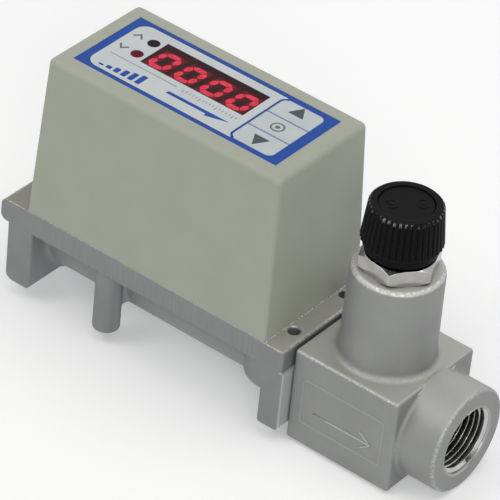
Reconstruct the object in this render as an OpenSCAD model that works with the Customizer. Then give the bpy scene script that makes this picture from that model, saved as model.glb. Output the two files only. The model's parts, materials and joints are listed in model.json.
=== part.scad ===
// Inline flow meter with a digital head and a needle valve on its outlet.
// Millimetres. The origin is the centre of the inlet port's face, +X runs with the
// flow and +Z is up. Threads are plain cylinders at their largest radius.

/* [Meter body] */
// Length between the inlet face and the outlet face
body_l = 82.2; // [80:0.2:92]
// Width of the casting across the flow
body_w = 36; // [35:0.5:42]
// Height of the plate's top face above the inlet axis
plate_top = 11; // [10.8:0.1:13]
// Thickness of the top plate
plate_t = 6; // [4.5:0.1:6.5]
// Overhang of the plate past the inlet face
plate_over = 2.3; // [1:0.1:3]
// Step from the plate's outlet end back from the outlet face
plate_back = 0.6; // [0.5:0.1:1.5]
// Radius of the plate's cast edges at the inlet end
plate_end_r = 1.8; // [0.8:0.1:2]
// Radius of the plate's edges at the outlet end
plate_out_r = 0.9; // [0.5:0.1:1.4]
// Depth of the end flanges below the inlet axis
foot_drop = 11.2; // [10.6:0.1:13]
// Thickness of the inlet flange
inlet_t = 7.4; // [6:0.1:9]
// Thickness of the outlet flange
outlet_t = 6; // [5:0.1:7]
// Large radius at the foot of the inlet flange
foot_r = 2.4; // [1:0.1:3]
// Small radius on the flanges' other cast edges
cast_r = 1; // [0.6:0.1:1.4]
// Radius on the flanges' upright edges
flange_r = 0.5; // [0.3:0.1:1]
// Outer radius of the half-round flow tube
tube_r = 12.6; // [12:0.1:13]
// Height of the flow tube's centre above the inlet axis
tube_rise = 1.8; // [1.6:0.1:2.2]
// Radius of the fillet from the flow tube to a flange
tube_fillet = 1.3; // [0.6:0.1:1.6]

/* [Mounting posts] */
// Radius of a mounting post
post_r = 3.3; // [3:0.1:4]
// Distance of the front post from the inlet face
post_x = 28.7; // [24:0.1:32]
// How far the posts stand below the flanges
post_proud = 0.9; // [0.5:0.1:3]
// Edge radius at a post's free end
post_edge = 0.7; // [0.2:0.1:0.9]
// Radius of the tapped hole in a post
post_tap_r = 2; // [1.5:0.05:2.2]
// Depth of the tapped hole in a post
post_tap_l = 8; // [5:0.5:11]
// Width of the web between a post and the flow tube
post_web = 5.4; // [4:0.1:5.8]
// Depth of that web's lower edge below the inlet axis
web_drop = 5.4; // [4:0.1:7]
// Radius of the fillet from that web to the flow tube
web_fillet = 1.3; // [0.6:0.1:1.6]

/* [Ports and passage] */
// Radius of both ports at the root of their thread
port_r = 8.33; // [7.5:0.01:8.6]
// Depth of both ports
port_depth = 12; // [10:0.5:13]
// Chamfer at the mouth of both ports
port_chamfer = 0.4; // [0.2:0.05:0.6]
// How far the spot face round the inlet reaches past its chamfer
spot_margin = 0.6; // [0.3:0.1:1]
// Radius of the measuring duct
duct_r = 6.2; // [5:0.1:6.6]
// Radius of the seat for the flow screens
screen_r = 7.2; // [6.9:0.1:7.4]
// Length of the seat for the flow screens
screen_seat_l = 6; // [5:0.1:8]

/* [Flow screens] */
// Thickness of the drilled straightener disc
straightener_t = 2.4; // [1.5:0.1:3]
// Radius of one straightener hole
straightener_hole_r = 0.85; // [0.5:0.05:1]
// Pitch of the straightener holes
straightener_pitch = 2.3; // [2.1:0.05:2.4]
// Thickness of one mesh screen
mesh_t = 0.5; // [0.3:0.1:0.6]
// Thickness of the ring that holds the screens
screen_ring_t = 1; // [0.8:0.1:1.5]
// Radial width of the ring that holds the screens
screen_ring_w = 1.2; // [0.8:0.1:1.6]

/* [Outlet spigot] */
// Radius of the spigot that joins the valve to the body
spigot_r = 9; // [8.7:0.1:9.2]
// Length of the spigot inside the body
spigot_l = 15; // [13:0.5:17]
// Radial depth of the groove that the lock pins bear in
lock_groove = 1; // [0.6:0.1:1.1]
// Radius of a lock pin
lock_pin_r = 1.4; // [1.2:0.05:1.5]
// Distance of the lock pins from the outlet face
lock_x = 4.1; // [4:0.1:4.8]
// Depth of the lock pin holes below the inlet axis
lock_drop = 1.2; // [0.5:0.1:1.6]
// How far the lock pins sit below the plate's top
lock_sink = 2.6; // [1:0.1:4]
// Radius of the cast boss round a lock pin hole
lock_boss_r = 9.2; // [8.5:0.1:9.6]
// Distance of that boss's centre from the outlet face
lock_boss_x = 6.3; // [6:0.1:7]
// Depth of that boss below the inlet axis
lock_boss_drop = 2.3; // [2:0.1:3]

/* [Housing cover] */
// Strip of plate left bare at the inlet end
strip_in = 7.7; // [7:0.1:9.5]
// Strip of plate left bare at the outlet end
strip_out = 5.5; // [5.3:0.1:7]
// Height of the cover above the plate
cover_h = 42.9; // [41:0.1:50]
// Lean of each cover wall from foot to top
cover_lean = 1.7; // [0.5:0.1:2]
// Wall thickness of the cover
cover_wall = 2; // [1.6:0.1:2.2]
// Roof thickness of the cover
cover_roof = 2.4; // [2.2:0.1:2.8]
// Radius of the cover's top edges
cover_top_r = 1.6; // [1.4:0.1:3.4]
// Corner radius at the cover's foot
cover_foot_r = 0.9; // [0.8:0.1:2.4]
// Gap from the cover's foot to the plate's long edges
cover_side = 0.1; // [0:0.05:0.3]
// Width of the seal under the cover
seal_w = 1; // [0.8:0.1:1.2]
// Depth of the seal's groove in the plate
seal_groove = 0.8; // [0.5:0.1:1.2]

/* [Cover screws] */
// Shank radius of a cover screw
cover_screw_r = 1.25; // [1:0.05:1.3]
// Head radius of a cover screw
cover_screw_head_r = 2.2; // [1.8:0.1:2.3]
// Head height of a cover screw
cover_screw_head_h = 1.6; // [1.2:0.1:1.8]
// Grip of a cover screw inside the cover
cover_screw_grip = 7; // [6:0.5:9]
// Distance of the screws from the plate's long edges
cover_screw_edge = 3.1; // [3:0.1:3.2]
// Distance of the screws from the cover's ends
cover_screw_end = 9; // [8:0.2:11]
// Radius of the boss that a cover screw enters
cover_boss_r = 3; // [2.8:0.1:3.2]
// Radius of the threaded insert in that boss
insert_r = 2; // [1.9:0.05:2.1]

/* [Panel] */
// Flat rim of the cover's top at each end of the panel
panel_edge = 2.8; // [2:0.1:3.6]
// Flat rim of the cover's top along each side of the panel
panel_side = 2.65; // [2:0.05:3]
// Distance of the panel from the cover's middle towards the inlet
panel_shift = 0.25; // [0:0.05:0.6]
// Thickness of the printed panel
panel_t = 0.3; // [0.2:0.05:0.5]
// Depth of the panel's face below the cover's top
panel_sink = 0.1; // [0.05:0.05:0.3]
// Width of the display window
window_w = 9.5; // [9:0.1:10]
// Distance of the window's left end from the panel's left end
window_x = 11.7; // [11.4:0.1:12.4]
// Distance of the window's middle line behind the panel's middle line
window_y = 3; // [2.6:0.1:3.2]
// Width of the ledge that holds the window from below
window_ledge = 0.8; // [0.5:0.1:1]
// Thickness of that ledge
window_ledge_t = 0.8; // [0.5:0.1:1]

/* [Keys] */
// Length of the key field along the panel
keys_l = 12.2; // [11.4:0.1:12.6]
// Distance of the key field from the panel's long edges
keys_side = 1.55; // [1.2:0.05:2]
// Distance of the key field from the window
keys_gap = 2.3; // [1.8:0.1:4]
// Distance of the key field from the panel's right end
keys_end = 2.7; // [2.4:0.1:3]
// Corner radius of the key field
keys_r = 1.8; // [0.8:0.1:2.4]
// Gap round each key
key_gap = 0.15; // [0.1:0.05:0.25]
// Thickness of a key pad
key_t = 0.8; // [0.6:0.1:1]
// Travel of a key
key_travel = 0.35; // [0.2:0.05:0.4]
// Radius of a key's stem
key_stem_r = 1.5; // [1.2:0.1:1.8]
// Running clearance of a key's stem
key_run = 0.06; // [0.03:0.01:0.1]

/* [Display] */
// Height of the display block above its board
display_h = 3.9; // [3:0.1:4]
// Margin of the display block round the window
display_margin = 0.6; // [0.2:0.1:1]
// Height of one digit
digit_h = 6.7; // [6:0.1:7.5]
// Margin of the row of digits inside the window's ends
digit_margin = 1.15; // [0.8:0.05:1.5]
// Share of the digits' pitch that one digit takes
digit_share = 0.64; // [0.5:0.01:0.7]
// Lean of the digits, as a share of their height
lean_share = 0.13; // [0:0.01:0.2]
// Width of one lit segment
segment_w = 1.1; // [0.6:0.05:1.2]
// Gap between the points of two segments
segment_gap = 0.15; // [0.1:0.05:0.3]
// Height of a segment above the display's face
segment_t = 0.2; // [0.1:0.05:0.3]
// Radius of an alarm lamp
lamp_r = 1.45; // [1.2:0.05:1.5]
// Distance of the alarm lamps from the panel's left end
lamp_x = 9; // [8.6:0.1:9.2]
// Distance of the upper lamp behind the panel's middle line
lamp_high_y = 5.8; // [5:0.1:7]
// Distance of the lower lamp in front of the panel's middle line
lamp_low_y = 0.2; // [0:0.1:1]

/* [Circuit boards] */
// Thickness of both boards
board_t = 1.6; // [1:0.1:1.8]
// Height of the main board above the plate
main_rise = 9; // [8:0.5:11]
// Gap from the main board's ends to the cover's wall
main_end_gap = 5.35; // [4.5:0.05:8]
// Width of the main board
main_w = 18.6; // [17:0.1:19]
// Gap from the display board's ends to the foot of the cover's wall
display_end_gap = 3.35; // [3:0.05:3.9]
// Width of the display board
display_w = 22.4; // [22:0.1:23]
// Drop from the cover's roof to the display board
display_drop = 6.8; // [6.6:0.1:7.4]
// Radius of a board screw's shank
board_screw_r = 0.95; // [0.8:0.05:1]
// Radius of a board screw's head
board_screw_head_r = 1.7; // [1.4:0.1:1.8]
// Height of a board screw's head
board_screw_head_h = 1.1; // [0.8:0.1:1.3]
// Length of a board screw under its head
board_screw_l = 4.6; // [4:0.1:5]
// Distance of a board screw from its board's edges
board_hole_edge = 2; // [1.9:0.1:2.2]
// Width across flats of a board pillar
pillar_af = 3.6; // [3.2:0.1:3.8]

/* [Switches] */
// Width of a switch's case
switch_w = 5.6; // [5:0.1:6]
// Height of a switch's case
switch_h = 3; // [2.6:0.1:3.3]
// Radius of a switch's plunger
plunger_r = 1.2; // [1:0.1:1.4]
// Height of the plunger above the case
plunger_proud = 0.8; // [0.7:0.1:1]
// Depth of the plunger inside the case
plunger_in = 1; // [0.8:0.1:1.4]

/* [Sensor] */
// Distance of the sensor from the inlet face
sensor_x = 40; // [38:0.5:44]
// Length of the sensor's flange
sensor_l = 21; // [20:0.2:22]
// Width of the sensor's flange
sensor_w = 13; // [12:0.2:14]
// Thickness of the sensor's flange
sensor_t = 2; // [1.5:0.1:3]
// Radius of the sensor's plug
sensor_r = 4.4; // [4:0.1:4.8]
// Length of the plug below the plate's top
sensor_plug = 5.2; // [5:0.1:5.4]
// Length of the sensing blade below the plug
blade_l = 5; // [3:0.1:7]
// Width of the sensing blade along the flow
blade_w = 3.4; // [2:0.1:4]
// Thickness of the sensing blade
blade_t = 0.8; // [0.6:0.1:1.2]
// Section of the sensor's seal ring
sensor_seal_d = 1; // [0.8:0.1:1.2]
// Spacing of the sensor's two screws
sensor_screw_pitch = 16.4; // [15.6:0.2:17]
// Shank radius of a sensor screw
sensor_screw_r = 1; // [0.8:0.05:1.1]
// Head radius of a sensor screw
sensor_screw_head_r = 1.9; // [1.5:0.1:2]
// Head height of a sensor screw
sensor_screw_head_h = 1.3; // [1:0.1:1.5]
// Grip of a sensor screw in the plate
sensor_screw_grip = 3; // [2.5:0.1:3.4]

/* [Signal socket] */
// Radius of the socket's threaded barrel
socket_r = 4; // [3.5:0.1:4.4]
// How far the barrel stands out of the cover
socket_out = 6; // [4:0.5:8]
// Radius of the socket's flange outside the wall
socket_flange_r = 5.6; // [5.2:0.1:6.2]
// Thickness of that flange
socket_flange_t = 1.2; // [0.8:0.1:1.6]
// Height of the socket above the plate
socket_rise = 20; // [17:0.5:23]
// Depth of the barrel behind the wall
socket_in = 4; // [3.5:0.1:5]
// Radius of the socket's mating recess
socket_recess_r = 3; // [2.5:0.1:3.1]
// Depth of the socket's mating recess
socket_recess_l = 5; // [3:0.5:5.5]
// Radius of a contact pin
contact_r = 0.4; // [0.3:0.05:0.5]
// Radius of the circle that the contact pins stand on
contact_ring_r = 1.5; // [1.3:0.1:1.7]
// Thickness of the socket's inner nut
socket_nut_t = 1.6; // [1.2:0.1:2]
// Width across flats of the socket's inner nut
socket_nut_af = 10.6; // [10.2:0.1:11.4]
// Radius of one wire behind the socket
wire_r = 0.45; // [0.3:0.05:0.55]
// Bend radius of the wires
wire_bend_r = 3; // [2:0.1:3.4]

/* [Valve block] */
// Gap between the body's outlet face and the block
joint_gap = 0.2; // [0.15:0.05:0.4]
// Length of the block along the flow
block_l = 29; // [28:0.1:32]
// Width of the block
block_w = 29; // [28:0.1:31]
// Height of the block
block_h = 25.2; // [24.6:0.1:28]
// Drop of the block's top below the plate's top
block_drop = 0.2; // [0:0.05:0.4]
// Edge radius of the block
block_r = 0.8; // [0.6:0.1:1.8]
// Outer radius of the outlet boss
outlet_r = 13.1; // [12.6:0.1:13.4]
// Length of the outlet boss
outlet_l = 10.3; // [9:0.1:12]
// Edge radius of the outlet boss
outlet_edge = 1; // [0.5:0.1:1.5]
// Fillet at the root of the outlet boss
outlet_fillet = 1; // [0.5:0.1:1.3]

/* [Valve tower] */
// Outer radius of the tower at its top
tower_r = 10.9; // [10.2:0.1:11]
// Distance of the tower past the block's middle, towards the outlet
tower_shift = 0.5; // [0:0.1:1]
// Growth of the tower's radius down to its foot
tower_taper = 0.3; // [0:0.05:0.5]
// Height of the tower above the block
tower_h = 24.2; // [22:0.1:28]
// Edge radius at the tower's top
tower_edge = 1.5; // [0.8:0.1:2]
// Fillet at the tower's foot
tower_fillet = 1.6; // [0.8:0.1:2]
// Radius of the valve's chamber
chamber_r = 5.5; // [5.2:0.1:5.8]
// Radius of the passage under the seat
seat_r = 3; // [2.6:0.1:3.2]
// Depth of the seat below the inlet axis
seat_drop = 4.2; // [4:0.1:4.6]
// Radius of the passage from the spigot to the chamber
feed_r = 3.8; // [3:0.1:3.9]
// Radius of the bore inside the spigot
spigot_bore_r = 5.4; // [4:0.1:5.8]
// Radius of the passage from the seat to the outlet
drain_r = 2.3; // [2:0.1:2.4]
// Distance from the outlet axis down to that passage
drain_drop = 5.4; // [5:0.1:5.7]

/* [Bonnet nut] */
// Width across flats of the bonnet nut
nut_af = 16.8; // [16:0.1:17.4]
// Height of the bonnet nut's hexagon
nut_h = 4.2; // [3.6:0.1:5]
// Chamfer height at the hexagon's corners
nut_chamfer = 0.8; // [0.4:0.1:1]
// Angle at which the nut came to rest
nut_turn = 51.6; // [0:0.1:60]
// Radius of the bonnet's threaded shank
shank_r = 7; // [6.8:0.1:7.4]
// Length of the bonnet's threaded shank
shank_l = 8; // [7:0.5:9]
// Section of the bonnet's seal ring
bonnet_seal_d = 1.2; // [1:0.1:1.4]

/* [Valve stem] */
// Radius of the stem's drive thread
stem_r = 4; // [3.6:0.1:4.2]
// Radius of the stem above its thread
stem_top_r = 3; // [2.6:0.1:3.2]
// Running clearance of stem and needle
valve_run = 0.05; // [0.03:0.01:0.08]
// Lift of the valve from closed to open
lift = 3.75; // [3:0.25:4]
// Radius of the swivel pin between stem and needle
swivel_r = 1.6; // [1.3:0.1:1.8]
// Radius of the collar at the end of the swivel pin
collar_r = 2.3; // [2:0.1:2.6]
// Height of that collar
collar_h = 1.2; // [0.8:0.1:1.6]
// Thickness of the needle's lip, rolled over the collar
lip_t = 1.2; // [0.8:0.1:1.6]
// Gap between the faces of stem and needle
swivel_gap = 0.3; // [0.2:0.05:0.4]
// Section of the seal ring on the needle
needle_seal_d = 1.2; // [1:0.1:1.4]
// Length of the needle's guide piston
piston_l = 6; // [5:0.1:7]
// Radius of the needle's shank under the piston
needle_shank_r = 3.6; // [3.3:0.1:3.8]
// Length of the needle's cone
cone_l = 4; // [3:0.1:5]
// Radius of the cone's tip
cone_tip_r = 1; // [0.6:0.1:1.4]
// Gap from the closed needle to its seat
seat_gap = 0.3; // [0.2:0.05:0.4]

/* [Knob] */
// Radius over the ribs at the knob's foot
knob_r = 9.5; // [9.2:0.1:10]
// Radius over the ribs at the knob's top
knob_top_r = 8.6; // [7.8:0.1:8.8]
// Height of the knob
knob_h = 12; // [11:0.1:13]
// Radius of the plain collar under the ribs
knob_collar_r = 8.5; // [8:0.1:8.6]
// Height of that collar
knob_collar_h = 2.4; // [1:0.1:3]
// Number of ribs
knob_ribs = 40; // [24:2:48]
// Depth of the grooves between the ribs
rib_depth = 0.45; // [0.3:0.05:0.6]
// Chamfer at the knob's top edge
knob_chamfer = 0.6; // [0.3:0.1:0.8]
// Gap from the closed knob to the bonnet nut
knob_gap = 0.8; // [0.5:0.1:2]
// Radius of the hollow under the knob
knob_hollow_r = 7.6; // [7.2:0.1:7.8]
// Depth of the hollow under the knob
knob_hollow_l = 3; // [2:0.1:4]
// Radius of the cap in the knob's top
cap_r = 6.2; // [5.6:0.1:6.4]
// Thickness of the cap
cap_t = 1; // [0.8:0.1:1.4]
// Width of the groove round the cap
cap_groove = 0.35; // [0.2:0.05:0.5]
// Height of the knob's rim above the cap
cap_sink = 0.3; // [0.1:0.05:0.5]
// Shank radius of the screw that holds the knob
knob_screw_r = 1.25; // [1:0.05:1.3]
// Head radius of that screw
knob_screw_head_r = 2.4; // [2:0.1:2.6]
// Head height of that screw
knob_screw_head_h = 1.6; // [1.2:0.1:1.8]
// Length of that screw under its head
knob_screw_l = 5; // [4:0.1:5.5]

/* [Hidden] */
$fn = 64;

// Overrun of every cut past the faces that it opens
over = 0.6;
// Clearance round a screw's shank in a plain or tapped hole
shank_play = 0.1;
// Clearance round pieces that stand still against each other
still_play = 0.05;
// End play of the swivel's collar
swivel_play = 0.1;
// Thickness of the knob's floor under its screw
knob_floor = 1.6;
// Share of the ribs' pitch that the groove between them takes
rib_groove_share = 0.6;
// Width and depth of a screwdriver slot
slot_w = 0.6;
slot_d = 0.7;

half_w = body_w / 2;
plate_x0 = -plate_over;
plate_x1 = body_l - plate_back;
plate_bottom = plate_top - plate_t;
outlet_x0 = body_l - outlet_t;
screen_x0 = port_depth;
screen_x1 = screen_x0 + screen_seat_l;

// The posts stand on a diagonal, one on each side of the flow tube
post_y = half_w - post_r;
post_places = [[post_x, -post_y], [body_l - post_x, post_y]];

lock_pin_x = body_l - lock_x;
lock_pin_y = spigot_r - lock_groove + lock_pin_r + shank_play;
lock_boss_cx = body_l - lock_boss_x;
lock_boss_cy = half_w - lock_boss_r;
lock_mouth = 0.3;

cover_x0 = plate_x0 + strip_in;
cover_x1 = plate_x1 - strip_out;
cover_top = plate_top + cover_h;
roof_z = cover_top - cover_roof;
cover_y = half_w - cover_side;
seal_inset = (cover_wall - seal_w) / 2;

screw_x0 = cover_x0 + cover_screw_end;
screw_x1 = cover_x1 - cover_screw_end - lock_boss_x / 2;
screw_y = half_w - cover_screw_edge;
cover_screw_places = [for (x = [screw_x0, screw_x1], s = [-1, 1]) [x, s * screw_y]];
cover_screw_bore_r = cover_screw_r + shank_play;
insert_l = cover_screw_grip - slot_d;

rim = cover_lean + cover_top_r;
panel_l = cover_x1 - cover_x0 - 2 * (rim + panel_edge);
panel_w = 2 * (cover_y - rim - panel_side);
panel_x0 = (cover_x0 + cover_x1 - panel_l) / 2 - panel_shift;
panel_x1 = panel_x0 + panel_l;
panel_z = cover_top - panel_sink;
panel_floor = panel_z - panel_t;
keys_x1 = panel_x1 - keys_end;
keys_x0 = keys_x1 - keys_l;
keys_w = panel_w - 2 * keys_side;
window_x0 = panel_x0 + window_x;
window_l = keys_x0 - keys_gap - window_x0;
keys_mid = (keys_x0 + keys_x1) / 2;
key_w = keys_w / 3;
keys_floor = panel_z - key_t - key_travel - key_gap;

display_z = roof_z - display_drop;
key_stem_z = display_z + board_t + switch_h + plunger_proud;
display_x0 = cover_x0 + cover_wall + display_end_gap;
display_l = cover_x1 - cover_wall - display_end_gap - display_x0;
display_face = display_z + board_t + display_h;
display_boss_r = board_screw_r + cover_wall / 2;
display_screw_places =
    [for (x = [display_x0 + board_hole_edge, display_x0 + display_l - board_hole_edge],
          s = [-1, 1]) [x, s * (display_w / 2 - board_hole_edge)]];
lamp_cx = panel_x0 + lamp_x;
lamp_places = [[lamp_cx, lamp_high_y], [lamp_cx, -lamp_low_y]];
lamp_foot = 0.6;

digit_pitch = (window_l - 2 * digit_margin) / (3 + digit_share);
digit_w = digit_share * digit_pitch;

main_x0 = cover_x0 + cover_wall + main_end_gap;
main_l = cover_x1 - cover_wall - main_end_gap - main_x0;
main_z = plate_top + main_rise;
pillar_xs = [main_x0 + board_hole_edge, main_x0 + main_l - board_hole_edge];
pillar_y = main_w / 2 - board_hole_edge;
// Length of a pillar's stud in the plate
pillar_stud_l = 2.5;

socket_z = plate_top + socket_rise;
socket_nut_r = socket_nut_af / 2 / cos(30);
// The socket's flange and nut each seat on a flat spot of the leaning wall
socket_wall_x = cover_x0 + cover_lean * (socket_rise + socket_flange_r) / cover_h;
socket_nut_x = cover_x0 + cover_wall + cover_lean * (socket_rise - socket_nut_r) / cover_h;
socket_x0 = socket_wall_x - socket_flange_t;

block_x0 = body_l + joint_gap;
block_x1 = block_x0 + block_l;
block_top = plate_top - block_drop;
outlet_z = block_top - block_h / 2;
outlet_face_x = block_x1 + outlet_l;
tower_x = block_x0 + block_l / 2 + tower_shift;
tower_top = block_top + tower_h;
seat_z = -seat_drop;

nut_top = tower_top + nut_h;
knob_z = nut_top + knob_gap;
rib_z = knob_z + knob_collar_h;
knob_top = knob_z + knob_h;
cap_z = knob_top - cap_sink - cap_t;
// Height at which the closed needle's cone has the seat's radius
needle_z = seat_z + seat_gap;
piston_z = needle_z + cone_l + feed_r + seat_r;
cone_slope = (needle_shank_r - cone_tip_r) / cone_l;
needle_top = piston_z + piston_l;
stem_z = needle_top + swivel_gap;
thread_top = nut_top;
collar_top = needle_top - lip_t - swivel_play;
stem_top = cap_z - knob_screw_head_h - still_play - knob_floor;
stem_flat_x = stem_top_r * 3 / 4;

// Points along an arc from angle a to angle b, n steps
function arc(c, r, a, b, n = 8) =
    [for (i = [0 : n]) c + r * [cos(a + (b - a) * i / n), sin(a + (b - a) * i / n)]];

// Outline of a rectangle from p to q with its four corners rounded
function round_rect(p, q, r) =
    concat(arc([p[0] + r[0], p[1] + r[0]], r[0], 180, 270),
           arc([q[0] - r[1], p[1] + r[1]], r[1], 270, 360),
           arc([q[0] - r[2], q[1] - r[2]], r[2], 0, 90),
           arc([p[0] + r[3], q[1] - r[3]], r[3], 90, 180));

// Box between two corners
module slab(p, q) {
    translate(p) cube(q - p);
}

// Cylinder along X from x0 to x1
module rod_x(x0, x1, r, y = 0, z = 0) {
    translate([x0, y, z]) rotate([0, 90, 0]) cylinder(r = r, h = x1 - x0);
}

// Cylinder along Z from z0 to z1
module rod_z(x, y, z0, z1, r) {
    translate([x, y, z0]) cylinder(r = r, h = z1 - z0);
}

// Cone along Z from radius r0 at z0 to radius r1 at z1
module cone_z(x, y, z0, z1, r0, r1) {
    translate([x, y, z0]) cylinder(r1 = r0, r2 = r1, h = z1 - z0);
}

// Body of revolution along X, from points [distance along X, radius]
module turned_x(points, x = 0, z = 0) {
    translate([x, 0, z]) rotate([0, 90, 0])
        rotate_extrude() polygon([for (p = points) [p[1], p[0]]]);
}

// Body of revolution along Z, from points [radius, height]
module turned_z(points, x = 0, y = 0, z = 0) {
    translate([x, y, z]) rotate_extrude() polygon(points);
}

// Profile in the XZ plane, drawn out across the flow
module across(y0, y1, points) {
    translate([0, y1, 0]) rotate([90, 0, 0]) linear_extrude(y1 - y0) polygon(points);
}

// Hexagonal bar along Z with its corners on radius r
module hex_z(x, y, z0, z1, af) {
    translate([x, y, z0]) cylinder(r = af / 2 / cos(30), h = z1 - z0, $fn = 6);
}

// Ring of round section d, its middle at radius r
module seal_ring(r, d) {
    rotate_extrude() translate([r, 0]) circle(d = d);
}

// Copies children on both sides of the flow axis
module both_sides() {
    children();
    mirror([0, 1, 0]) children();
}

// Pan-head screw standing on its head's seat, shank upwards
module screw_up(r, l, head_r, head_h) {
    difference() {
        union() {
            cylinder(r = r, h = l);
            translate([0, 0, -head_h]) cylinder(r = head_r, h = head_h);
        }
        slab([-head_r, -slot_w / 2, -head_h - over], [head_r, slot_w / 2, -head_h + slot_d]);
    }
}

// The same screw, shank downwards
module screw_down(r, l, head_r, head_h) {
    mirror([0, 0, 1]) screw_up(r, l, head_r, head_h);
}

// Meter body: plate, flanges, half-round tube, posts and bosses in one casting

module plate() {
    corners = [still_play, plate_out_r, plate_out_r, still_play];
    intersection() {
        across(-half_w, half_w, round_rect([plate_x0, plate_bottom], [plate_x1, plate_top],
               [plate_end_r, still_play, plate_out_r, plate_end_r]));
        translate([0, 0, plate_bottom - over]) linear_extrude(plate_t + 2 * over)
            polygon(round_rect([plate_x0, -half_w], [plate_x1, half_w], corners));
    }
}

// Flange under one end of the plate, rounded in plan and at its foot
module end_flange(x0, x1, r_in, r_out) {
    intersection() {
        across(-half_w, half_w, round_rect([x0, -foot_drop], [x1, plate_top],
               [r_in, r_out, cast_r, cast_r]));
        translate([0, 0, -foot_drop - over])
            linear_extrude(foot_drop + plate_bottom + over)
                polygon(round_rect([x0, -half_w], [x1, half_w], [for (i = [0 : 3]) flange_r]));
    }
}

module flow_tube() {
    x0 = inlet_t / 2;
    x1 = body_l - outlet_t / 2;
    fillet_x = inlet_t + tube_fillet;
    intersection() {
        union() {
            rod_x(x0, x1, tube_r, z = tube_rise);
            turned_x(concat([[x0, 0], [x0, tube_r + tube_fillet]],
                            [[inlet_t, tube_r + tube_fillet]],
                            arc([fillet_x, tube_r + tube_fillet], tube_fillet, 180, 270, 6),
                            [[fillet_x, 0]]), z = tube_rise);
        }
        slab([0, -half_w, -foot_drop], [body_l, half_w, plate_bottom + plate_t / 2]);
    }
}

// Mounting post on its web to the flow tube, with a fillet on both sides of the web
module post(p) {
    z0 = -foot_drop - post_proud;
    z1 = plate_bottom + plate_t / 2;
    x0 = p[0] - post_web / 2;
    x1 = p[0] + post_web / 2;
    y0 = min(p[1], sign(p[1]) * tube_r / 2);
    y1 = max(p[1], sign(p[1]) * tube_r / 2);
    reach = tube_r + web_fillet;
    slab([x0, y0, -web_drop], [x1, y1, z1]);
    intersection() {
        turned_x(concat([[x0 - web_fillet, tube_r / 2]],
                        arc([x0 - web_fillet, reach], web_fillet, 270, 360, 6),
                        arc([x1 + web_fillet, reach], web_fillet, 180, 270, 6),
                        [[x1 + web_fillet, tube_r / 2]]), z = tube_rise);
        slab([x0 - web_fillet, y0, -web_drop], [x1 + web_fillet, y1, z1]);
    }
    turned_z(concat([[0, z1], [0, z0]],
                    arc([post_r - post_edge, z0 + post_edge], post_edge, -90, 0, 5),
                    [[post_r, z1]]), p[0], p[1]);
}

module lock_boss() {
    intersection() {
        turned_z(concat([[0, plate_bottom + plate_t / 2], [0, -lock_boss_drop]],
                        arc([lock_boss_r - cast_r, -lock_boss_drop + cast_r], cast_r, -90, 0, 5),
                        [[lock_boss_r, plate_bottom + plate_t / 2]]),
                 lock_boss_cx, -lock_boss_cy);
        slab([0, -half_w, -foot_drop], [body_l - cast_r, 0, plate_top]);
    }
}

module body_casting() {
    plate();
    end_flange(0, inlet_t, foot_r, cast_r);
    end_flange(outlet_x0, body_l, cast_r, cast_r);
    flow_tube();
    for (p = post_places) post(p);
    both_sides() lock_boss();
}

module inlet_bore() {
    turned_x([[-over, 0], [-over, port_r + port_chamfer + over], [port_chamfer, port_r],
              [port_chamfer, 0]]);
    rod_x(plate_x0 - over, 0, port_r + port_chamfer + spot_margin);
    rod_x(0, port_depth, port_r);
    rod_x(screen_x0 - over, screen_x1, screen_r);
    rod_x(screen_x1 - over, body_l, duct_r);
}

module spigot_bore() {
    rod_x(body_l - spigot_l - still_play, body_l + over, spigot_r + still_play);
}

module lock_pin_hole() {
    rod_z(lock_pin_x, -lock_pin_y, -lock_drop, plate_top + over, lock_pin_r + shank_play);
    cone_z(lock_pin_x, -lock_pin_y, plate_top - lock_mouth, plate_top + lock_mouth,
           lock_pin_r + shank_play, lock_pin_r + shank_play + 2 * lock_mouth);
}

// Outline of the cover's foot, moved inwards
module foot_outline(inset) {
    r = max(still_play, cover_foot_r - inset);
    polygon(round_rect([cover_x0 + inset, -cover_y + inset],
                       [cover_x1 - inset, cover_y - inset], [r, r, r, r]));
}

// Frame of the seal's width, following the cover's foot
module seal_frame(z0, z1, play = 0) {
    translate([0, 0, z0]) linear_extrude(z1 - z0) difference() {
        foot_outline(seal_inset + play);
        foot_outline(seal_inset + seal_w - play);
    }
}

module body_cuts() {
    inlet_bore();
    spigot_bore();
    both_sides() lock_pin_hole();
    seal_frame(plate_top - seal_groove, plate_top + over);
    for (p = post_places)
        rod_z(p[0], p[1], -foot_drop - post_proud - over,
              -foot_drop - post_proud + post_tap_l, post_tap_r);
    for (p = cover_screw_places) {
        rod_z(p[0], p[1], plate_bottom - over, plate_top + over, cover_screw_bore_r);
        rod_z(p[0], p[1], plate_bottom - over, plate_bottom + cover_screw_head_h,
              cover_screw_head_r + shank_play);
    }
    rod_z(sensor_x, 0, 0, plate_top + over, sensor_r + still_play);
    for (s = [-1, 1])
        rod_z(sensor_x + s * sensor_screw_pitch / 2, 0, plate_top - sensor_screw_grip,
              plate_top + over, sensor_screw_r + still_play);
    for (x = pillar_xs, s = [-1, 1])
        rod_z(x, s * pillar_y, plate_top - pillar_stud_l, plate_top + over,
              board_screw_r + still_play);
}

module meter_body() {
    color("silver") difference() {
        body_casting();
        body_cuts();
    }
}

// Flow conditioning in the inlet

module flow_straightener() {
    x0 = screen_x0 + screen_ring_t + mesh_t;
    color("whitesmoke") difference() {
        rod_x(x0, x0 + straightener_t, screen_r - still_play);
        for (i = [-3 : 3], j = [-3 : 3])
            if (norm(hex_place(i, j)) < screen_r - screen_ring_w - straightener_hole_r)
                rod_x(x0 - over, x0 + straightener_t + over, straightener_hole_r,
                      hex_place(i, j)[0], hex_place(i, j)[1]);
    }
}

// Place of one hole of a hexagonal grid
function hex_place(i, j) = straightener_pitch * [i + j / 2, j * sin(60)];

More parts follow.
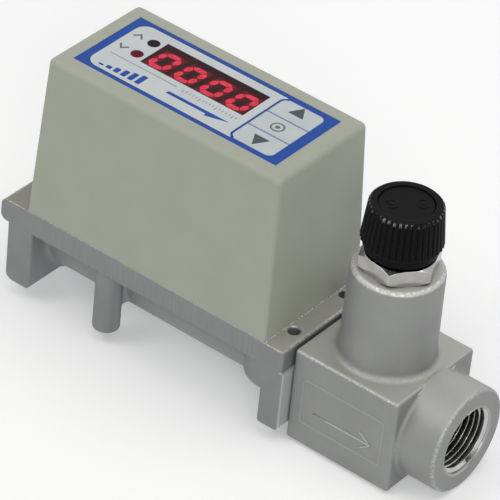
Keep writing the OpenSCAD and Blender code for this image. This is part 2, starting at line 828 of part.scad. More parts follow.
module flow_screens() {
    x0 = screen_x0 + screen_ring_t;
    x1 = x0 + mesh_t + straightener_t;
    color("gray") {
        rod_x(x0, x0 + mesh_t, screen_r - still_play);
        rod_x(x1, x1 + mesh_t, screen_r - still_play);
    }
}

module screen_ring() {
    color("silver") difference() {
        rod_x(screen_x0, screen_x0 + screen_ring_t, screen_r - still_play);
        rod_x(screen_x0 - over, screen_x0 + screen_ring_t + over, screen_r - screen_ring_w);
    }
}

module lock_pins() {
    z1 = plate_top - lock_sink;
    color("silver") both_sides() difference() {
        rod_z(lock_pin_x, -lock_pin_y, -lock_drop, z1, lock_pin_r);
        hex_z(lock_pin_x, -lock_pin_y, z1 - lock_pin_r, z1 + over, lock_pin_r);
    }
}

// Housing cover and its fixings

// Drafted box with rounded top edges; inset moves every wall inwards
module cover_form(inset, top, top_r) {
    foot_place = cover_foot_r + inset;
    lean_place = top_r + inset + cover_lean;
    hull() {
        for (x = [cover_x0 + foot_place, cover_x1 - foot_place],
             y = [-cover_y + foot_place, cover_y - foot_place])
            rod_z(x, y, plate_top, plate_top + still_play, cover_foot_r, $fn = 32);
        for (x = [cover_x0 + lean_place, cover_x1 - lean_place],
             y = [-cover_y + lean_place, cover_y - lean_place])
            translate([x, y, top - top_r]) sphere(r = top_r, $fn = 32);
    }
}

module cover_shell() {
    difference() {
        cover_form(0, cover_top, cover_top_r);
        difference() {
            translate([0, 0, -still_play]) cover_form(cover_wall, roof_z + still_play,
                                                      cover_top_r - cover_wall / 2);
            for (p = cover_screw_places) cover_boss(p);
            for (p = display_screw_places)
                rod_z(p[0], p[1], display_z + board_t, roof_z + over, display_boss_r);
        }
    }
}

module cover_boss(p) {
    side = sign(p[1]);
    z1 = plate_top + cover_screw_grip + 2 * cover_boss_r;
    rod_z(p[0], p[1], plate_top, z1, cover_boss_r);
    slab([p[0] - cover_boss_r, min(p[1], side * cover_y), plate_top],
         [p[0] + cover_boss_r, max(p[1], side * cover_y), z1]);
}

module housing_cover() {
    color([0.70, 0.72, 0.67]) difference() {
        cover_shell();
        slab([panel_x0 - still_play, -panel_w / 2 - still_play, panel_floor],
             [panel_x1 + still_play, panel_w / 2 + still_play, cover_top + over]);
        slab([window_x0 - still_play, window_y - window_w / 2 - still_play, roof_z - over],
             [window_x0 + window_l + still_play, window_y + window_w / 2 + still_play,
              cover_top]);
        slab([keys_x0, -keys_w / 2, keys_floor], [keys_x1, keys_w / 2, cover_top]);
        for (i = [-1 : 1])
            rod_z(keys_mid, i * key_w, roof_z - over, cover_top, key_stem_r + key_run);
        for (p = lamp_places)
            rod_z(p[0], p[1], roof_z - over, cover_top, lamp_r + still_play);
        for (p = cover_screw_places)
            rod_z(p[0], p[1], plate_top - over, plate_top + cover_screw_grip + over,
                  insert_r + still_play);
        for (p = display_screw_places)
            rod_z(p[0], p[1], display_z, display_z + board_screw_l + over,
                  board_screw_r + still_play);
        rod_x(cover_x0 - over, cover_x0 + cover_wall + cover_lean + over,
              socket_r + still_play, z = socket_z);
        rod_x(cover_x0 - over, socket_wall_x, socket_flange_r + still_play, z = socket_z);
        rod_x(socket_nut_x, socket_nut_x + cover_lean, socket_nut_r + still_play,
              z = socket_z);
    }
}

module cover_seal() {
    color("dimgray") seal_frame(plate_top - seal_groove, plate_top, still_play);
}

module cover_inserts() {
    color("goldenrod") for (p = cover_screw_places) difference() {
        rod_z(p[0], p[1], plate_top, plate_top + insert_l, insert_r);
        rod_z(p[0], p[1], plate_top - over, plate_top + insert_l + over,
              cover_screw_r + still_play);
    }
}

module cover_screws() {
    grip = plate_t - cover_screw_head_h + cover_screw_grip;
    color("silver") for (p = cover_screw_places)
        translate([p[0], p[1], plate_bottom + cover_screw_head_h])
            screw_up(cover_screw_r, grip - slot_d, cover_screw_head_r, cover_screw_head_h);
}

// Panel, window and keys

module panel_overlay() {
    color("royalblue") difference() {
        slab([panel_x0, -panel_w / 2, panel_floor], [panel_x1, panel_w / 2, panel_z]);
        slab([window_x0, window_y - window_w / 2, panel_floor - over],
             [window_x0 + window_l, window_y + window_w / 2, panel_z + over]);
        translate([0, 0, panel_floor - over]) linear_extrude(panel_t + 2 * over)
            polygon(round_rect([keys_x0, -keys_w / 2], [keys_x1, keys_w / 2],
                               [for (i = [0 : 3]) keys_r]));
        for (p = lamp_places)
            rod_z(p[0], p[1], panel_floor - over, panel_z + over, lamp_r + still_play);
    }
}

module display_window() {
    color([0.35, 0.05, 0.06]) {
        slab([window_x0 + still_play, window_y - window_w / 2 + still_play,
              roof_z - window_ledge_t],
             [window_x0 + window_l - still_play, window_y + window_w / 2 - still_play,
              panel_z]);
        slab([window_x0 - window_ledge, window_y - window_w / 2 - window_ledge,
              roof_z - window_ledge_t],
             [window_x0 + window_l + window_ledge, window_y + window_w / 2 + window_ledge,
              roof_z - still_play]);
    }
}

// One key: its pad, shaped by the key field's outline, and its stem
module key(i) {
    intersection() {
        translate([0, 0, panel_z - key_t]) linear_extrude(key_t)
            polygon(round_rect([keys_x0 + key_gap, -keys_w / 2 + key_gap],
                               [keys_x1 - key_gap, keys_w / 2 - key_gap],
                               [for (k = [0 : 3]) keys_r - key_gap]));
        slab([keys_x0, (i - 1 / 2) * key_w + key_gap / 2, panel_z - key_t - over],
             [keys_x1, (i + 1 / 2) * key_w - key_gap / 2, panel_z + over]);
    }
    rod_z(keys_mid, i * key_w, key_stem_z, panel_z - key_t / 2, key_stem_r);
}

module key_up() { color("whitesmoke") key(1); }
module key_set() { color("whitesmoke") key(0); }
module key_down() { color("whitesmoke") key(-1); }

// Plunger of one switch, which the key's stem stands on
module plunger(i) {
    color("black") rod_z(keys_mid, i * key_w, key_stem_z - plunger_proud - plunger_in,
                         key_stem_z, plunger_r);
}

module plunger_up() { plunger(1); }
module plunger_set() { plunger(0); }
module plunger_down() { plunger(-1); }

module key_switches() {
    z0 = display_z + board_t;
    color("gray") for (i = [-1 : 1]) difference() {
        slab([keys_mid - switch_w / 2, i * key_w - switch_w / 2, z0],
             [keys_mid + switch_w / 2, i * key_w + switch_w / 2, z0 + switch_h]);
        rod_z(keys_mid, i * key_w, z0 + switch_h - plunger_in - key_travel - key_gap,
              z0 + switch_h + over, plunger_r + key_run);
    }
}

// Display and its board

module display_board() {
    color("darkgreen") difference() {
        slab([display_x0, -display_w / 2, display_z],
             [display_x0 + display_l, display_w / 2, display_z + board_t]);
        for (p = display_screw_places)
            rod_z(p[0], p[1], display_z - over, display_z + board_t + over,
                  board_screw_r + shank_play);
    }
}

// Outline of a bar from a to b with pointed ends, leaning with the digit
function bar(a, b) =
    let (u = (b - a) / norm(b - a), n = [-u[1], u[0]], h = segment_w / 2)
    [for (p = [a, a + (u + n) * h, b + (n - u) * h, b, b - (n + u) * h, a + (u - n) * h])
        [p[0] + lean_share * p[1], p[1]]];

// Digit made of two columns of two bars with a bar across at its foot and its head
module figure_zero(x, y) {
    w = digit_w - lean_share * digit_h - segment_w;
    h = digit_h - segment_w;
    g = segment_gap / 2;
    translate([x + segment_w / 2, y + segment_w / 2, display_face - still_play])
        linear_extrude(segment_t + still_play) {
            for (xa = [0, w], ya = [0, h / 2])
                polygon(bar([xa, ya + g], [xa, ya + h / 2 - g]));
            for (ya = [0, h]) polygon(bar([g, ya], [w - g, ya]));
        }
}

module display_module() {
    z0 = display_z + board_t;
    color("dimgray")
        slab([window_x0 - display_margin, window_y - window_w / 2 - display_margin, z0],
             [window_x0 + window_l + display_margin, window_y + window_w / 2 + display_margin,
              display_face]);
    color("red") for (k = [0 : 3])
        figure_zero(window_x0 + digit_margin + k * digit_pitch, window_y - digit_h / 2);
}

module alarm_lamps() {
    z0 = display_z + board_t;
    color([0.45, 0.08, 0.10]) for (p = lamp_places) {
        rod_z(p[0], p[1], z0, panel_z, lamp_r);
        rod_z(p[0], p[1], z0, z0 + lamp_foot, lamp_r + lamp_foot / 2);
    }
}

module display_board_screws() {
    color("silver") for (p = display_screw_places)
        translate([p[0], p[1], display_z])
            screw_up(board_screw_r, board_screw_l, board_screw_head_r, board_screw_head_h);
}

// Main board, its pillars and the link to the display board

// Width and thickness of the ribbon, height and width of its plugs, place of its middle
link_w = 9;
link_t = 0.6;
plug_h = 3;
plug_w = 3;
link_x = main_x0 + main_l - board_hole_edge - 3 * plug_w;

// Height, length and width of a chip, and the gap before it
chip_h = 1.4;
chip_l = 8;
chip_w = 6;
chip_gap = 2.2;

module main_board() {
    z1 = main_z + board_t;
    color("darkgreen") difference() {
        slab([main_x0, -main_w / 2, main_z], [main_x0 + main_l, main_w / 2, z1]);
        for (x = pillar_xs, s = [-1, 1])
            rod_z(x, s * pillar_y, main_z - over, z1 + over, board_screw_r + shank_play);
    }
    color("black") for (k = [1 : 2]) {
        x0 = link_x - plug_w / 2 - k * (chip_gap + chip_l);
        slab([x0, -chip_w / 2, z1], [x0 + chip_l, chip_w / 2, z1 + chip_h]);
    }
}

module board_pillars() {
    color("goldenrod") for (x = pillar_xs, s = [-1, 1]) difference() {
        union() {
            hex_z(x, s * pillar_y, plate_top, main_z, pillar_af);
            rod_z(x, s * pillar_y, plate_top - pillar_stud_l, plate_top + still_play,
                  board_screw_r);
        }
        rod_z(x, s * pillar_y, main_z - board_screw_l, main_z + over,
              board_screw_r + still_play);
    }
}

module board_screws() {
    color("silver") for (x = pillar_xs, s = [-1, 1])
        translate([x, s * pillar_y, main_z + board_t])
            screw_down(board_screw_r, board_screw_l, board_screw_head_r, board_screw_head_h);
}

// Flat ribbon between two plugs, bent round once between the boards
module board_link() {
    z0 = main_z + board_t;
    z1 = display_z;
    zm = (z0 + z1) / 2;
    bend_r = zm - z0 - plug_h;
    color("black") for (z = [z0, z1 - plug_h])
        slab([link_x - plug_w / 2, -link_w / 2, z],
             [link_x + plug_w / 2, link_w / 2, z + plug_h]);
    color("lightgray") across(-link_w / 2 + link_t, link_w / 2 - link_t,
        concat(arc([link_x, zm], bend_r + link_t, -90, 90, 12),
               arc([link_x, zm], bend_r, 90, -90, 12)));
}

// Sensor in the plate

sensor_pad = 0.6;

module sensor_module() {
    z0 = plate_top;
    plug_z = plate_top - sensor_plug;
    color("ivory") difference() {
        union() {
            slab([sensor_x - sensor_l / 2, -sensor_w / 2, z0],
                 [sensor_x + sensor_l / 2, sensor_w / 2, z0 + sensor_t]);
            rod_z(sensor_x, 0, plug_z, z0 + sensor_t / 2, sensor_r);
        }
        translate([sensor_x, 0, plate_top - sensor_plug / 2])
            rotate_extrude() translate([sensor_r - sensor_seal_d, -sensor_seal_d / 2])
                square([sensor_seal_d + over, sensor_seal_d]);
        for (s = [-1, 1])
            rod_z(sensor_x + s * sensor_screw_pitch / 2, 0, z0 - over, z0 + sensor_t + over,
                  sensor_screw_r + shank_play);
    }
    color("gray") slab([sensor_x - blade_w / 2, -blade_t / 2, plug_z - blade_l],
                       [sensor_x + blade_w / 2, blade_t / 2, plug_z + sensor_pad]);
}

module sensor_seal() {
    d = sensor_seal_d - still_play;
    color("black") translate([sensor_x, 0, plate_top - sensor_plug / 2])
        seal_ring(sensor_r + still_play - sensor_seal_d / 2, d);
}

module sensor_screws() {
    color("silver") for (s = [-1, 1])
        translate([sensor_x + s * sensor_screw_pitch / 2, 0, plate_top + sensor_t])
            screw_down(sensor_screw_r, sensor_t + sensor_screw_grip - still_play,
                       sensor_screw_head_r, sensor_screw_head_h);
}

header_pitch = 2;
header_pin_w = 0.5;

// Plug block on the sensor with pins up to the main board
module sensor_header() {
    z0 = plate_top + sensor_t;
    color("black")
        slab([sensor_x - 2 * header_pitch, -header_pitch / 2, z0],
             [sensor_x + 2 * header_pitch, header_pitch / 2, z0 + header_pitch]);
    color("goldenrod") for (k = [-3 : 2 : 3])
        slab([sensor_x + k * header_pitch / 2 - header_pin_w / 2, -header_pin_w / 2,
              z0 + header_pitch],
             [sensor_x + k * header_pitch / 2 + header_pin_w / 2, header_pin_w / 2, main_z]);
}

// Signal socket in the inlet end wall

module signal_socket() {
    x1 = socket_wall_x + cover_wall + socket_in;
    floor_x = socket_x0 - socket_out + socket_recess_l;
    color("silver") difference() {
        union() {
            rod_x(socket_x0 - socket_out, x1, socket_r, z = socket_z);
            rod_x(socket_x0, socket_wall_x, socket_flange_r, z = socket_z);
        }
        rod_x(socket_x0 - socket_out - over, floor_x, socket_recess_r, z = socket_z);
    }
    color("goldenrod") for (a = [45 : 90 : 315])
        rod_x(floor_x - socket_recess_l * 2 / 3, floor_x + contact_r, contact_r,
              contact_ring_r * cos(a), socket_z + contact_ring_r * sin(a));
}

module socket_nut() {
    x0 = socket_nut_x;
    color("silver") difference() {
        translate([x0, 0, socket_z]) rotate([0, 90, 0])
            hex_z(0, 0, 0, socket_nut_t, socket_nut_af);
        rod_x(x0 - over, x0 + socket_nut_t + over, socket_r + still_play, z = socket_z);
    }
}

// Four wires from the socket's back, each bent down to the main board
module socket_wires() {
    x0 = socket_wall_x + cover_wall + socket_in;
    z1 = main_z + board_t;
    color("gray") for (k = [0 : 3]) {
        y = (k - 3 / 2) * 3 * wire_r;
        z = socket_z + (k % 2 - 1 / 2) * contact_ring_r;
        x1 = x0 + wire_r + (k % 2) * contact_ring_r;
        rod_x(x0, x1, wire_r, y, z);
        translate([x1, y, z - wire_bend_r]) rotate([90, 0, 0])
            rotate_extrude(angle = 90) translate([wire_bend_r, 0]) circle(r = wire_r, $fn = 24);
        rod_z(x1 + wire_bend_r, y, z1, z - wire_bend_r, wire_r);
    }
}

// Valve block: box, tower, outlet boss and spigot in one casting

module block_box() {
    hull() for (x = [block_x0 + block_r, block_x1 - block_r],
                y = [-block_w / 2 + block_r, block_w / 2 - block_r],
                z = [block_top - block_h + block_r, block_top - block_r])
        translate([x, y, z]) sphere(r = block_r, $fn = 32);
}

module tower() {
    foot_r = tower_r + tower_taper;
    turned_z(concat([[0, block_top - block_r], [foot_r + tower_fillet, block_top - block_r]],
                    arc([foot_r + tower_fillet, block_top + tower_fillet], tower_fillet,
                        270, 180),
                    arc([tower_r - tower_edge, tower_top - tower_edge], tower_edge, 0, 90),
                    [[0, tower_top]]), tower_x);
}

module outlet_boss() {
    turned_x(concat([[block_x1 - block_r, 0], [block_x1 - block_r, outlet_r]],
                    arc([outlet_face_x - outlet_edge, outlet_r - outlet_edge], outlet_edge,
                        90, 0, 6),
                    [[outlet_face_x, 0]]), z = outlet_z);
    intersection() {
        turned_x(concat([[block_x1 - over, outlet_r / 2],
                         [block_x1 - over, outlet_r + outlet_fillet]],
                        arc([block_x1 + outlet_fillet, outlet_r + outlet_fillet],
                            outlet_fillet, 180, 270, 6),
                        [[block_x1 + outlet_fillet, outlet_r / 2]]), z = outlet_z);
        slab([tower_x, -block_w / 2 + block_r, block_top - block_h + block_r],
             [outlet_face_x, block_w / 2 - block_r, block_top - block_r]);
    }
}

module spigot() {
    x0 = body_l - spigot_l;
    groove_x = body_l - lock_x;
    groove_w = lock_pin_r + shank_play;
    turned_x([[x0, 0], [x0, spigot_r - lock_mouth], [x0 + lock_mouth, spigot_r],
              [groove_x - groove_w, spigot_r], [groove_x - groove_w, spigot_r - lock_groove],
              [groove_x + groove_w, spigot_r - lock_groove], [groove_x + groove_w, spigot_r],
              [block_x0 + block_r, spigot_r], [block_x0 + block_r, 0]]);
}

spigot_seal_d = 1.6;
spigot_seal_x = body_l - spigot_l + 2 * spigot_seal_d;

module valve_bores() {
    turned_x([[body_l - spigot_l - over, 0], [body_l - spigot_l - over, spigot_bore_r],
              [block_x0 + block_r, spigot_bore_r],
              [block_x0 + block_r + spigot_bore_r - feed_r, feed_r],
              [tower_x, feed_r], [tower_x, 0]]);
    rod_z(tower_x, 0, seat_z, tower_top + over, chamber_r);
    rod_z(tower_x, 0, outlet_z - drain_drop, seat_z + over, seat_r);
    rod_z(tower_x, 0, tower_top - shank_l - bonnet_seal_d, tower_top + over,
          shank_r + still_play);
    rod_x(tower_x, outlet_face_x - port_depth + over, drain_r, z = outlet_z - drain_drop);
    rod_x(outlet_face_x - port_depth, outlet_face_x, port_r, z = outlet_z);
    turned_x([[-port_chamfer, 0], [-port_chamfer, port_r], [over, port_r + port_chamfer + over],
              [over, 0]], outlet_face_x, outlet_z);
    translate([spigot_seal_x, 0, 0]) rotate([0, 90, 0]) rotate_extrude()
        translate([spigot_r - spigot_seal_d, -spigot_seal_d / 2])
            square([spigot_seal_d + over, spigot_seal_d]);
}

module valve_block() {
    color("silver") difference() {
        union() {
            block_box();
            tower();
            outlet_boss();
            spigot();
        }
        valve_bores();
    }
}

module spigot_seal() {
    color("black") translate([spigot_seal_x, 0, 0]) rotate([0, 90, 0])
        seal_ring(spigot_r - spigot_seal_d / 2, spigot_seal_d - still_play);
}

// Bonnet, stem and needle

module bonnet_nut() {
    corner_r = nut_af / 2 / cos(30);
    flat_r = nut_af / 2;
    color("gainsboro") difference() {
        union() {
            intersection() {
                translate([tower_x, 0, 0]) rotate([0, 0, nut_turn])
                    hex_z(0, 0, tower_top, nut_top, nut_af);
                turned_z([[0, tower_top], [flat_r, tower_top],
                          [corner_r, tower_top + nut_chamfer],
                          [corner_r, nut_top - nut_chamfer], [flat_r, nut_top], [0, nut_top]],
                         tower_x);
            }
            rod_z(tower_x, 0, tower_top - shank_l, tower_top, shank_r);
        }
        rod_z(tower_x, 0, tower_top - shank_l - over, nut_top + over, stem_r + valve_run);
    }
}

module bonnet_seal() {
    color("black")
        translate([tower_x, 0, tower_top - shank_l - bonnet_seal_d / 2])
            seal_ring(shank_r + still_play - bonnet_seal_d / 2, bonnet_seal_d - still_play);
}

module valve_stem() {
    color("silver") difference() {
        union() {
            rod_z(tower_x, 0, stem_z, thread_top, stem_r);
            rod_z(tower_x, 0, thread_top - still_play, stem_top, stem_top_r);
            rod_z(tower_x, 0, collar_top - collar_h / 2, stem_z + swivel_gap, swivel_r);
            rod_z(tower_x, 0, collar_top - collar_h, collar_top, collar_r);
        }
        rod_z(tower_x, 0, stem_top - knob_screw_l, stem_top + over,
              knob_screw_r + still_play);
        slab([tower_x + stem_flat_x, -stem_r, knob_z], [tower_x + stem_r, stem_r, stem_top + over]);
    }
}

module valve_needle() {
    r = chamber_r - valve_run;
    groove_z = piston_z + piston_l / 2;
    color("silver") difference() {
        turned_z([[0, needle_z - (seat_r - cone_tip_r) / cone_slope],
                  [cone_tip_r, needle_z - (seat_r - cone_tip_r) / cone_slope],
                  [needle_shank_r, needle_z + (needle_shank_r - seat_r) / cone_slope],
                  [needle_shank_r, piston_z], [r, piston_z], [r, groove_z - needle_seal_d / 2],
                  [r - needle_seal_d, groove_z - needle_seal_d / 2],
                  [r - needle_seal_d, groove_z + needle_seal_d / 2],
                  [r, groove_z + needle_seal_d / 2], [r, needle_top], [0, needle_top]],
                 tower_x);
        rod_z(tower_x, 0, needle_top - lip_t - over, needle_top + over, swivel_r + valve_run);
        rod_z(tower_x, 0, collar_top - collar_h - swivel_play, needle_top - lip_t,
              collar_r + valve_run);
    }
}

module needle_seal() {
    color("black") translate([tower_x, 0, piston_z + piston_l / 2])
        seal_ring(chamber_r - valve_run - needle_seal_d / 2, needle_seal_d - still_play);
}

// Knob with its screw and cap

// Turned blank of the knob: plain collar, then a grip that is narrower at its top
module knob_blank() {
    turned_z([[0, knob_z], [knob_collar_r, knob_z], [knob_collar_r, rib_z], [knob_r, rib_z],
              [knob_top_r, knob_top - knob_chamfer], [knob_top_r - knob_chamfer, knob_top],
              [0, knob_top]], tower_x);
}

// One V groove along the blank's slope
module knob_groove() {
    grip_h = knob_top - rib_z;
    slope = atan((knob_r - knob_top_r) / (grip_h - knob_chamfer));
    mouth = rib_groove_share * knob_top_r * tan(180 / knob_ribs);
    outer_w = mouth * (rib_depth + over) / rib_depth;
    translate([knob_r, 0, rib_z]) rotate([0, -slope, 0]) translate([0, 0, -over])
        linear_extrude(grip_h + 2 * over)
            polygon([[-rib_depth, 0], [over, -outer_w], [over, outer_w]]);
}

module knob() {
    color([0.05, 0.05, 0.055]) difference() {
        knob_blank();
        for (k = [0 : knob_ribs - 1])
            translate([tower_x, 0, 0]) rotate([0, 0, k * 360 / knob_ribs]) knob_groove();
        rod_z(tower_x, 0, knob_z - over, knob_z + knob_hollow_l, knob_hollow_r);
        difference() {
            rod_z(tower_x, 0, knob_z - over, stem_top + still_play, stem_top_r + still_play);
            slab([tower_x + stem_flat_x + still_play, -stem_r, knob_z - over],
                 [tower_x + stem_r, stem_r, knob_top]);
        }
        rod_z(tower_x, 0, knob_z, knob_top, knob_screw_r + shank_play);
        rod_z(tower_x, 0, stem_top + knob_floor, cap_z + still_play,
              knob_screw_head_r + shank_play);
        rod_z(tower_x, 0, cap_z, knob_top + over, cap_r + cap_groove);
    }
}

module knob_screw() {
    color("silver") translate([tower_x, 0, stem_top + knob_floor])
        screw_down(knob_screw_r, knob_screw_l, knob_screw_head_r, knob_screw_head_h);
}

module knob_cap() {
    color([0.05, 0.05, 0.055]) rod_z(tower_x, 0, cap_z, cap_z + cap_t, cap_r);
}

meter_body();
flow_straightener();
flow_screens();
screen_ring();
lock_pins();
housing_cover();
cover_seal();
cover_inserts();
cover_screws();
panel_overlay();
display_window();
key_up();
key_set();
key_down();
plunger_up();
plunger_set();
plunger_down();
key_switches();
display_board();
display_module();
alarm_lamps();
display_board_screws();
main_board();
board_pillars();
board_screws();
board_link();
sensor_module();
sensor_seal();
sensor_screws();
sensor_header();
signal_socket();
socket_nut();
socket_wires();
valve_block();
spigot_seal();
bonnet_nut();
bonnet_seal();
valve_stem();
valve_needle();
needle_seal();
knob();
knob_screw();
knob_cap();
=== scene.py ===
"""Looks of an inline flow meter with a digital head and a needle valve.

Sizes are in millimetres unless a name says otherwise; MM turns them into metres.
X runs from the inlet to the outlet, Y from the front to the back and Z upwards.
"""
import json
import math

import bmesh
import bpy
from mathutils import Matrix, Vector


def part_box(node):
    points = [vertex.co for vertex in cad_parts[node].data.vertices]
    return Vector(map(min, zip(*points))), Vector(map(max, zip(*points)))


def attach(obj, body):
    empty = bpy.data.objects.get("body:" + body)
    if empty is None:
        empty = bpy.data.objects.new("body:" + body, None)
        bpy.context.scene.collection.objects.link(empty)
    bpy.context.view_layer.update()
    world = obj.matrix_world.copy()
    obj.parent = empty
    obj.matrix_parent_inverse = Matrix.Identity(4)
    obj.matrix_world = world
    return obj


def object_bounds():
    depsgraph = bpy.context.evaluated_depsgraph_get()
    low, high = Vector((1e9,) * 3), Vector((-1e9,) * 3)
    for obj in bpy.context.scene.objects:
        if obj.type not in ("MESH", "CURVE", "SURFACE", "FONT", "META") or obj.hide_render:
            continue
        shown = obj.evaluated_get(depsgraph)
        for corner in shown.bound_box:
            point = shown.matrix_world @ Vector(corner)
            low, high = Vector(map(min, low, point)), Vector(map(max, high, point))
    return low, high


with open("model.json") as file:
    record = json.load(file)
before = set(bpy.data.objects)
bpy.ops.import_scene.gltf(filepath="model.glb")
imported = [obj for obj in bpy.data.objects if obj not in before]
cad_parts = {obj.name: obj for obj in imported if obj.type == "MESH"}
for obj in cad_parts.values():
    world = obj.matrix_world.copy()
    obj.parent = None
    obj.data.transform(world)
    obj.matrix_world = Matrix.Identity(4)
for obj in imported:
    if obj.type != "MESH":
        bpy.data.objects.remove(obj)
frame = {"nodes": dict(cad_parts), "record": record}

MM = 0.001
CAD_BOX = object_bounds()

# Camera: where the photograph was taken from
CAMERA_TARGET = Vector((57.05, 0.0, 17.43))
CAMERA_DISTANCE = 910.2
CAMERA_AZIMUTH = 34.823
CAMERA_ELEVATION = 36.597
CAMERA_ROLL = 6.135
CAMERA_LENS = 286.31
SENSOR_WIDTH = 36.0
CLIP_METRES = (0.01, 50.0)

# Panel film: blue border, white field with its openings, and the light line round the field
PRINT_THICKNESS = 0.03
BORDER_END = 2.2
BORDER_SIDE = 1.35
CORNER_R = 3.1
FIELD_BEND = 62  # most degrees that the field's end turns round the keys' corners
OUTLINE = 0.3
OUTLINE_END_X = 53.0
WINDOW_EDGES = (0.5, 0.78, 0.45, 0.45)  # white print over the window: left, right, front, back
WINDOW_LIP = 0.82  # from the window's edge in to the dark rim's inner edge
LAMP_R = 1.45
LAMP_GAP = 0.1  # bare ring between a lamp and the white field

# Marks on the field; a row of bars is its count, the first one's left edge, the pitch and the width
RULE = (15.6, -4.0, 35.0, -3.85)
TICK_ROW = (17, 37.0, 0.95, 0.16)
TICK_TOP = -3.7
TICK_FOOT = -4.45
LONG_TICK_FOOT = -4.9
LONG_TICK_EVERY = 5
BAR_ROW = (6, 16.4, 2.1, 1.4)
BAR_FOOT = -9.5
BAR_TOP = -8.9
BAR_STEP = 0.62
ARROW = ((34.6, -7.5), (46.3, -7.5), (46.3, -8.3), (52.2, -6.45), (34.9, -6.55))
CHEVRON_X = 16.0
CHEVRON = ((-1.4, -0.6), (-1.05, -0.95), (0.0, 0.3), (1.05, -0.95), (1.4, -0.6), (0.0, 1.05))

# Film keys: corner, blue line along the left edge, pale seam between two keys, and their marks
KEY_R = 1.8
KEY_LINE = 0.3  # blue left between the white field and the keys' corners
KEY_RIM = 0.28
RIM_OUT = 0.1  # how far the blue line reaches past the key's edge
RIM_TURN = 75  # degrees that the blue line follows the rounded corner
KEY_SEAM = 0.12
TRIANGLE = ((-2.1, -0.97), (2.15, -0.97), (-0.05, 2.85))
TRIANGLE_RISE = 0.42  # from a key's middle to its triangle's, to the back
RING_R = (1.75, 1.35)
DOT_R = 0.6

# Lit figures, seen on the window's face
FIGURE_COUNT = 4
FIGURE_X = 24.3
FIGURE_Y = -1.05
FIGURE_PITCH = 7.5
FIGURE_W = 4.05
FIGURE_H = 5.9
FIGURE_STROKE = 1.48
FIGURE_SLOPE = 0.15
FIGURE_GAP = 0.12  # from a corner to a segment's end
FIGURE_SINK = 0.005  # the print's underside lies this far in the window
GLOW_REACH = (0.45, 1.35)  # from a stroke's middle to where its glow is full and where it ends
GLOW_LEVEL = 0.75

# Castings: the plate's brushed band, edges with wear and painted highlights, and faces with painted light;
# wear is 1 for bare metal with a full painted highlight
BAND_X = (7.5, 76.0)
BAND_FOOT = 5.0
TOP_FADE_X = (20, 70)  # painted light on upward faces turns from its left colour to its right one between these
EDGE_WEAR_GLINT = 0.85
RIM_WEAR_GLINT = 0.5
MOUTH_WEAR_GLINT = 0.32
CALM_WEAR_GLINT = 0.22  # share of the wear and painted highlight that is left on a calm rim
CALM_REACH = (2.2, 2.5)  # from a calm height to where the rims have their full wear and painted highlight again
BODY_CALM_Z = 5.2
BLOCK_CALM_Z = 13.0
BOSS_X = 111.0  # the valve block's outlet boss starts here
BOSS_SIDE = 5  # length of the boss's side, without wear or painted highlight on the rim
LIT_FACE_DROP = 5.6  # from the plate's top down to the outlet flange's end face, which is painted light
LIT_FACE_DEPTH = 0.4  # depth of the painted light on that face
SHANK_L = 8  # from the bonnet nut's lowest face up to the tower's top
CROWN_RING = (1.2, 0.6)  # depths under the tower's top where its painted highlight ring starts and is full
CAST_RELIEF = 0.03

# Cast frame and flow arrow on the valve block's front; a line is its width and height
BLOCK_FRONT = -14.5
FRAME_X = (85.7, 108.3)
FRAME_Z = (-6.35, 5.8)  # from the outlet's axis, as the arrow's shaft is
FRAME_R = 0.9
FRAME_LINE = (0.5, 0.13)
FLOW_LINE = (0.55, 0.2)
CREST_HIGHLIGHT = (0.13, 0.19)  # heights where the painted highlight on the marks sets in and is full
FLOW_SHAFT_X = (89.2, 95.0, 105.2)
FLOW_SHAFT_Z = -2.3
FLOW_HEAD = ((102.0, 2.4), (103.6, 1.2), (105.4, 0.0), (103.6, -1.2), (102.0, -2.4))
RIDGE_PROFILE = ((-0.5, -0.15), (-0.36, 0.62), (-0.15, 1.0), (0.15, 1.0), (0.36, 0.62), (0.5, -0.15))

# Thin sheet on the plate along the cover's outlet end, which only carries painted glints; its place from that
# end
LIP_X = (0.02, 0.27)
LIP_INSET = 0.4
LIP_THICKNESS = 0.1

# Pipe thread of both ports; the profile is each corner's height and its share of the pitch
PORT_DEPTH = 12.0
THREAD_PITCH = 1.337
THREAD_ROOT_R = 8.33
THREAD_CREST_R = 7.475
THREAD_PROFILE = ((0, -0.5), (1, -0.07), (1, 0.07), (0, 0.5))
THREAD_FLANK = 0.96  # share of the pitch that the ridge covers
THREAD_BED = 0.05  # how far its foot lies in the wall
THREAD_START = 0.65  # from the mouth to the ridge's first turn
THREAD_END_GAP = 1.2  # length of the port that the turns leave free
THREAD_START_ANGLE = 100  # degrees from +Y: the ridge starts out of sight, at the top
THREAD_FADE = 0.3  # turns over which it rises and dies away
THREAD_LEAST = 0.05  # share of its height at its very ends
THREAD_STEPS = 64
BORE_MARGIN = 0.55  # the port's finish takes in the mouth's bevel
BORE_SHADE = (0.5, 7)  # depths in the port where its wall is still light and where its painted shade makes it dark

# Knob: grooves round it, and the marks on its cap as shares of the cap's radius
KNOB_RIBS = 40
CAP_DISC_R = 7.6  # the grooves' painted highlights keep outside the cap's own groove
GROOVE_RISE = (1.3, 0.7)  # depths under the crown between which a painted highlight sets in
GROOVE_FADE = (0.05, 0.25)  # and where it stops again, at the crown
MARK_R = 0.58
SIGN_ARM = 0.12
SIGN_HALF = 0.035
TURN_R = 0.26
TURN_INNER = 0.8  # share of the turning arrow's radius
TURN_START = 60  # degrees on from the mark's own side of the cap
TURN_SWEEP = 210
TURN_HEAD = ((0.9, 52), (0.55, 4), (1.25, 4))  # shares of its radius, and degrees past its end
KNOB_PRINT = 0.12  # thickness of the marks, in millimetres

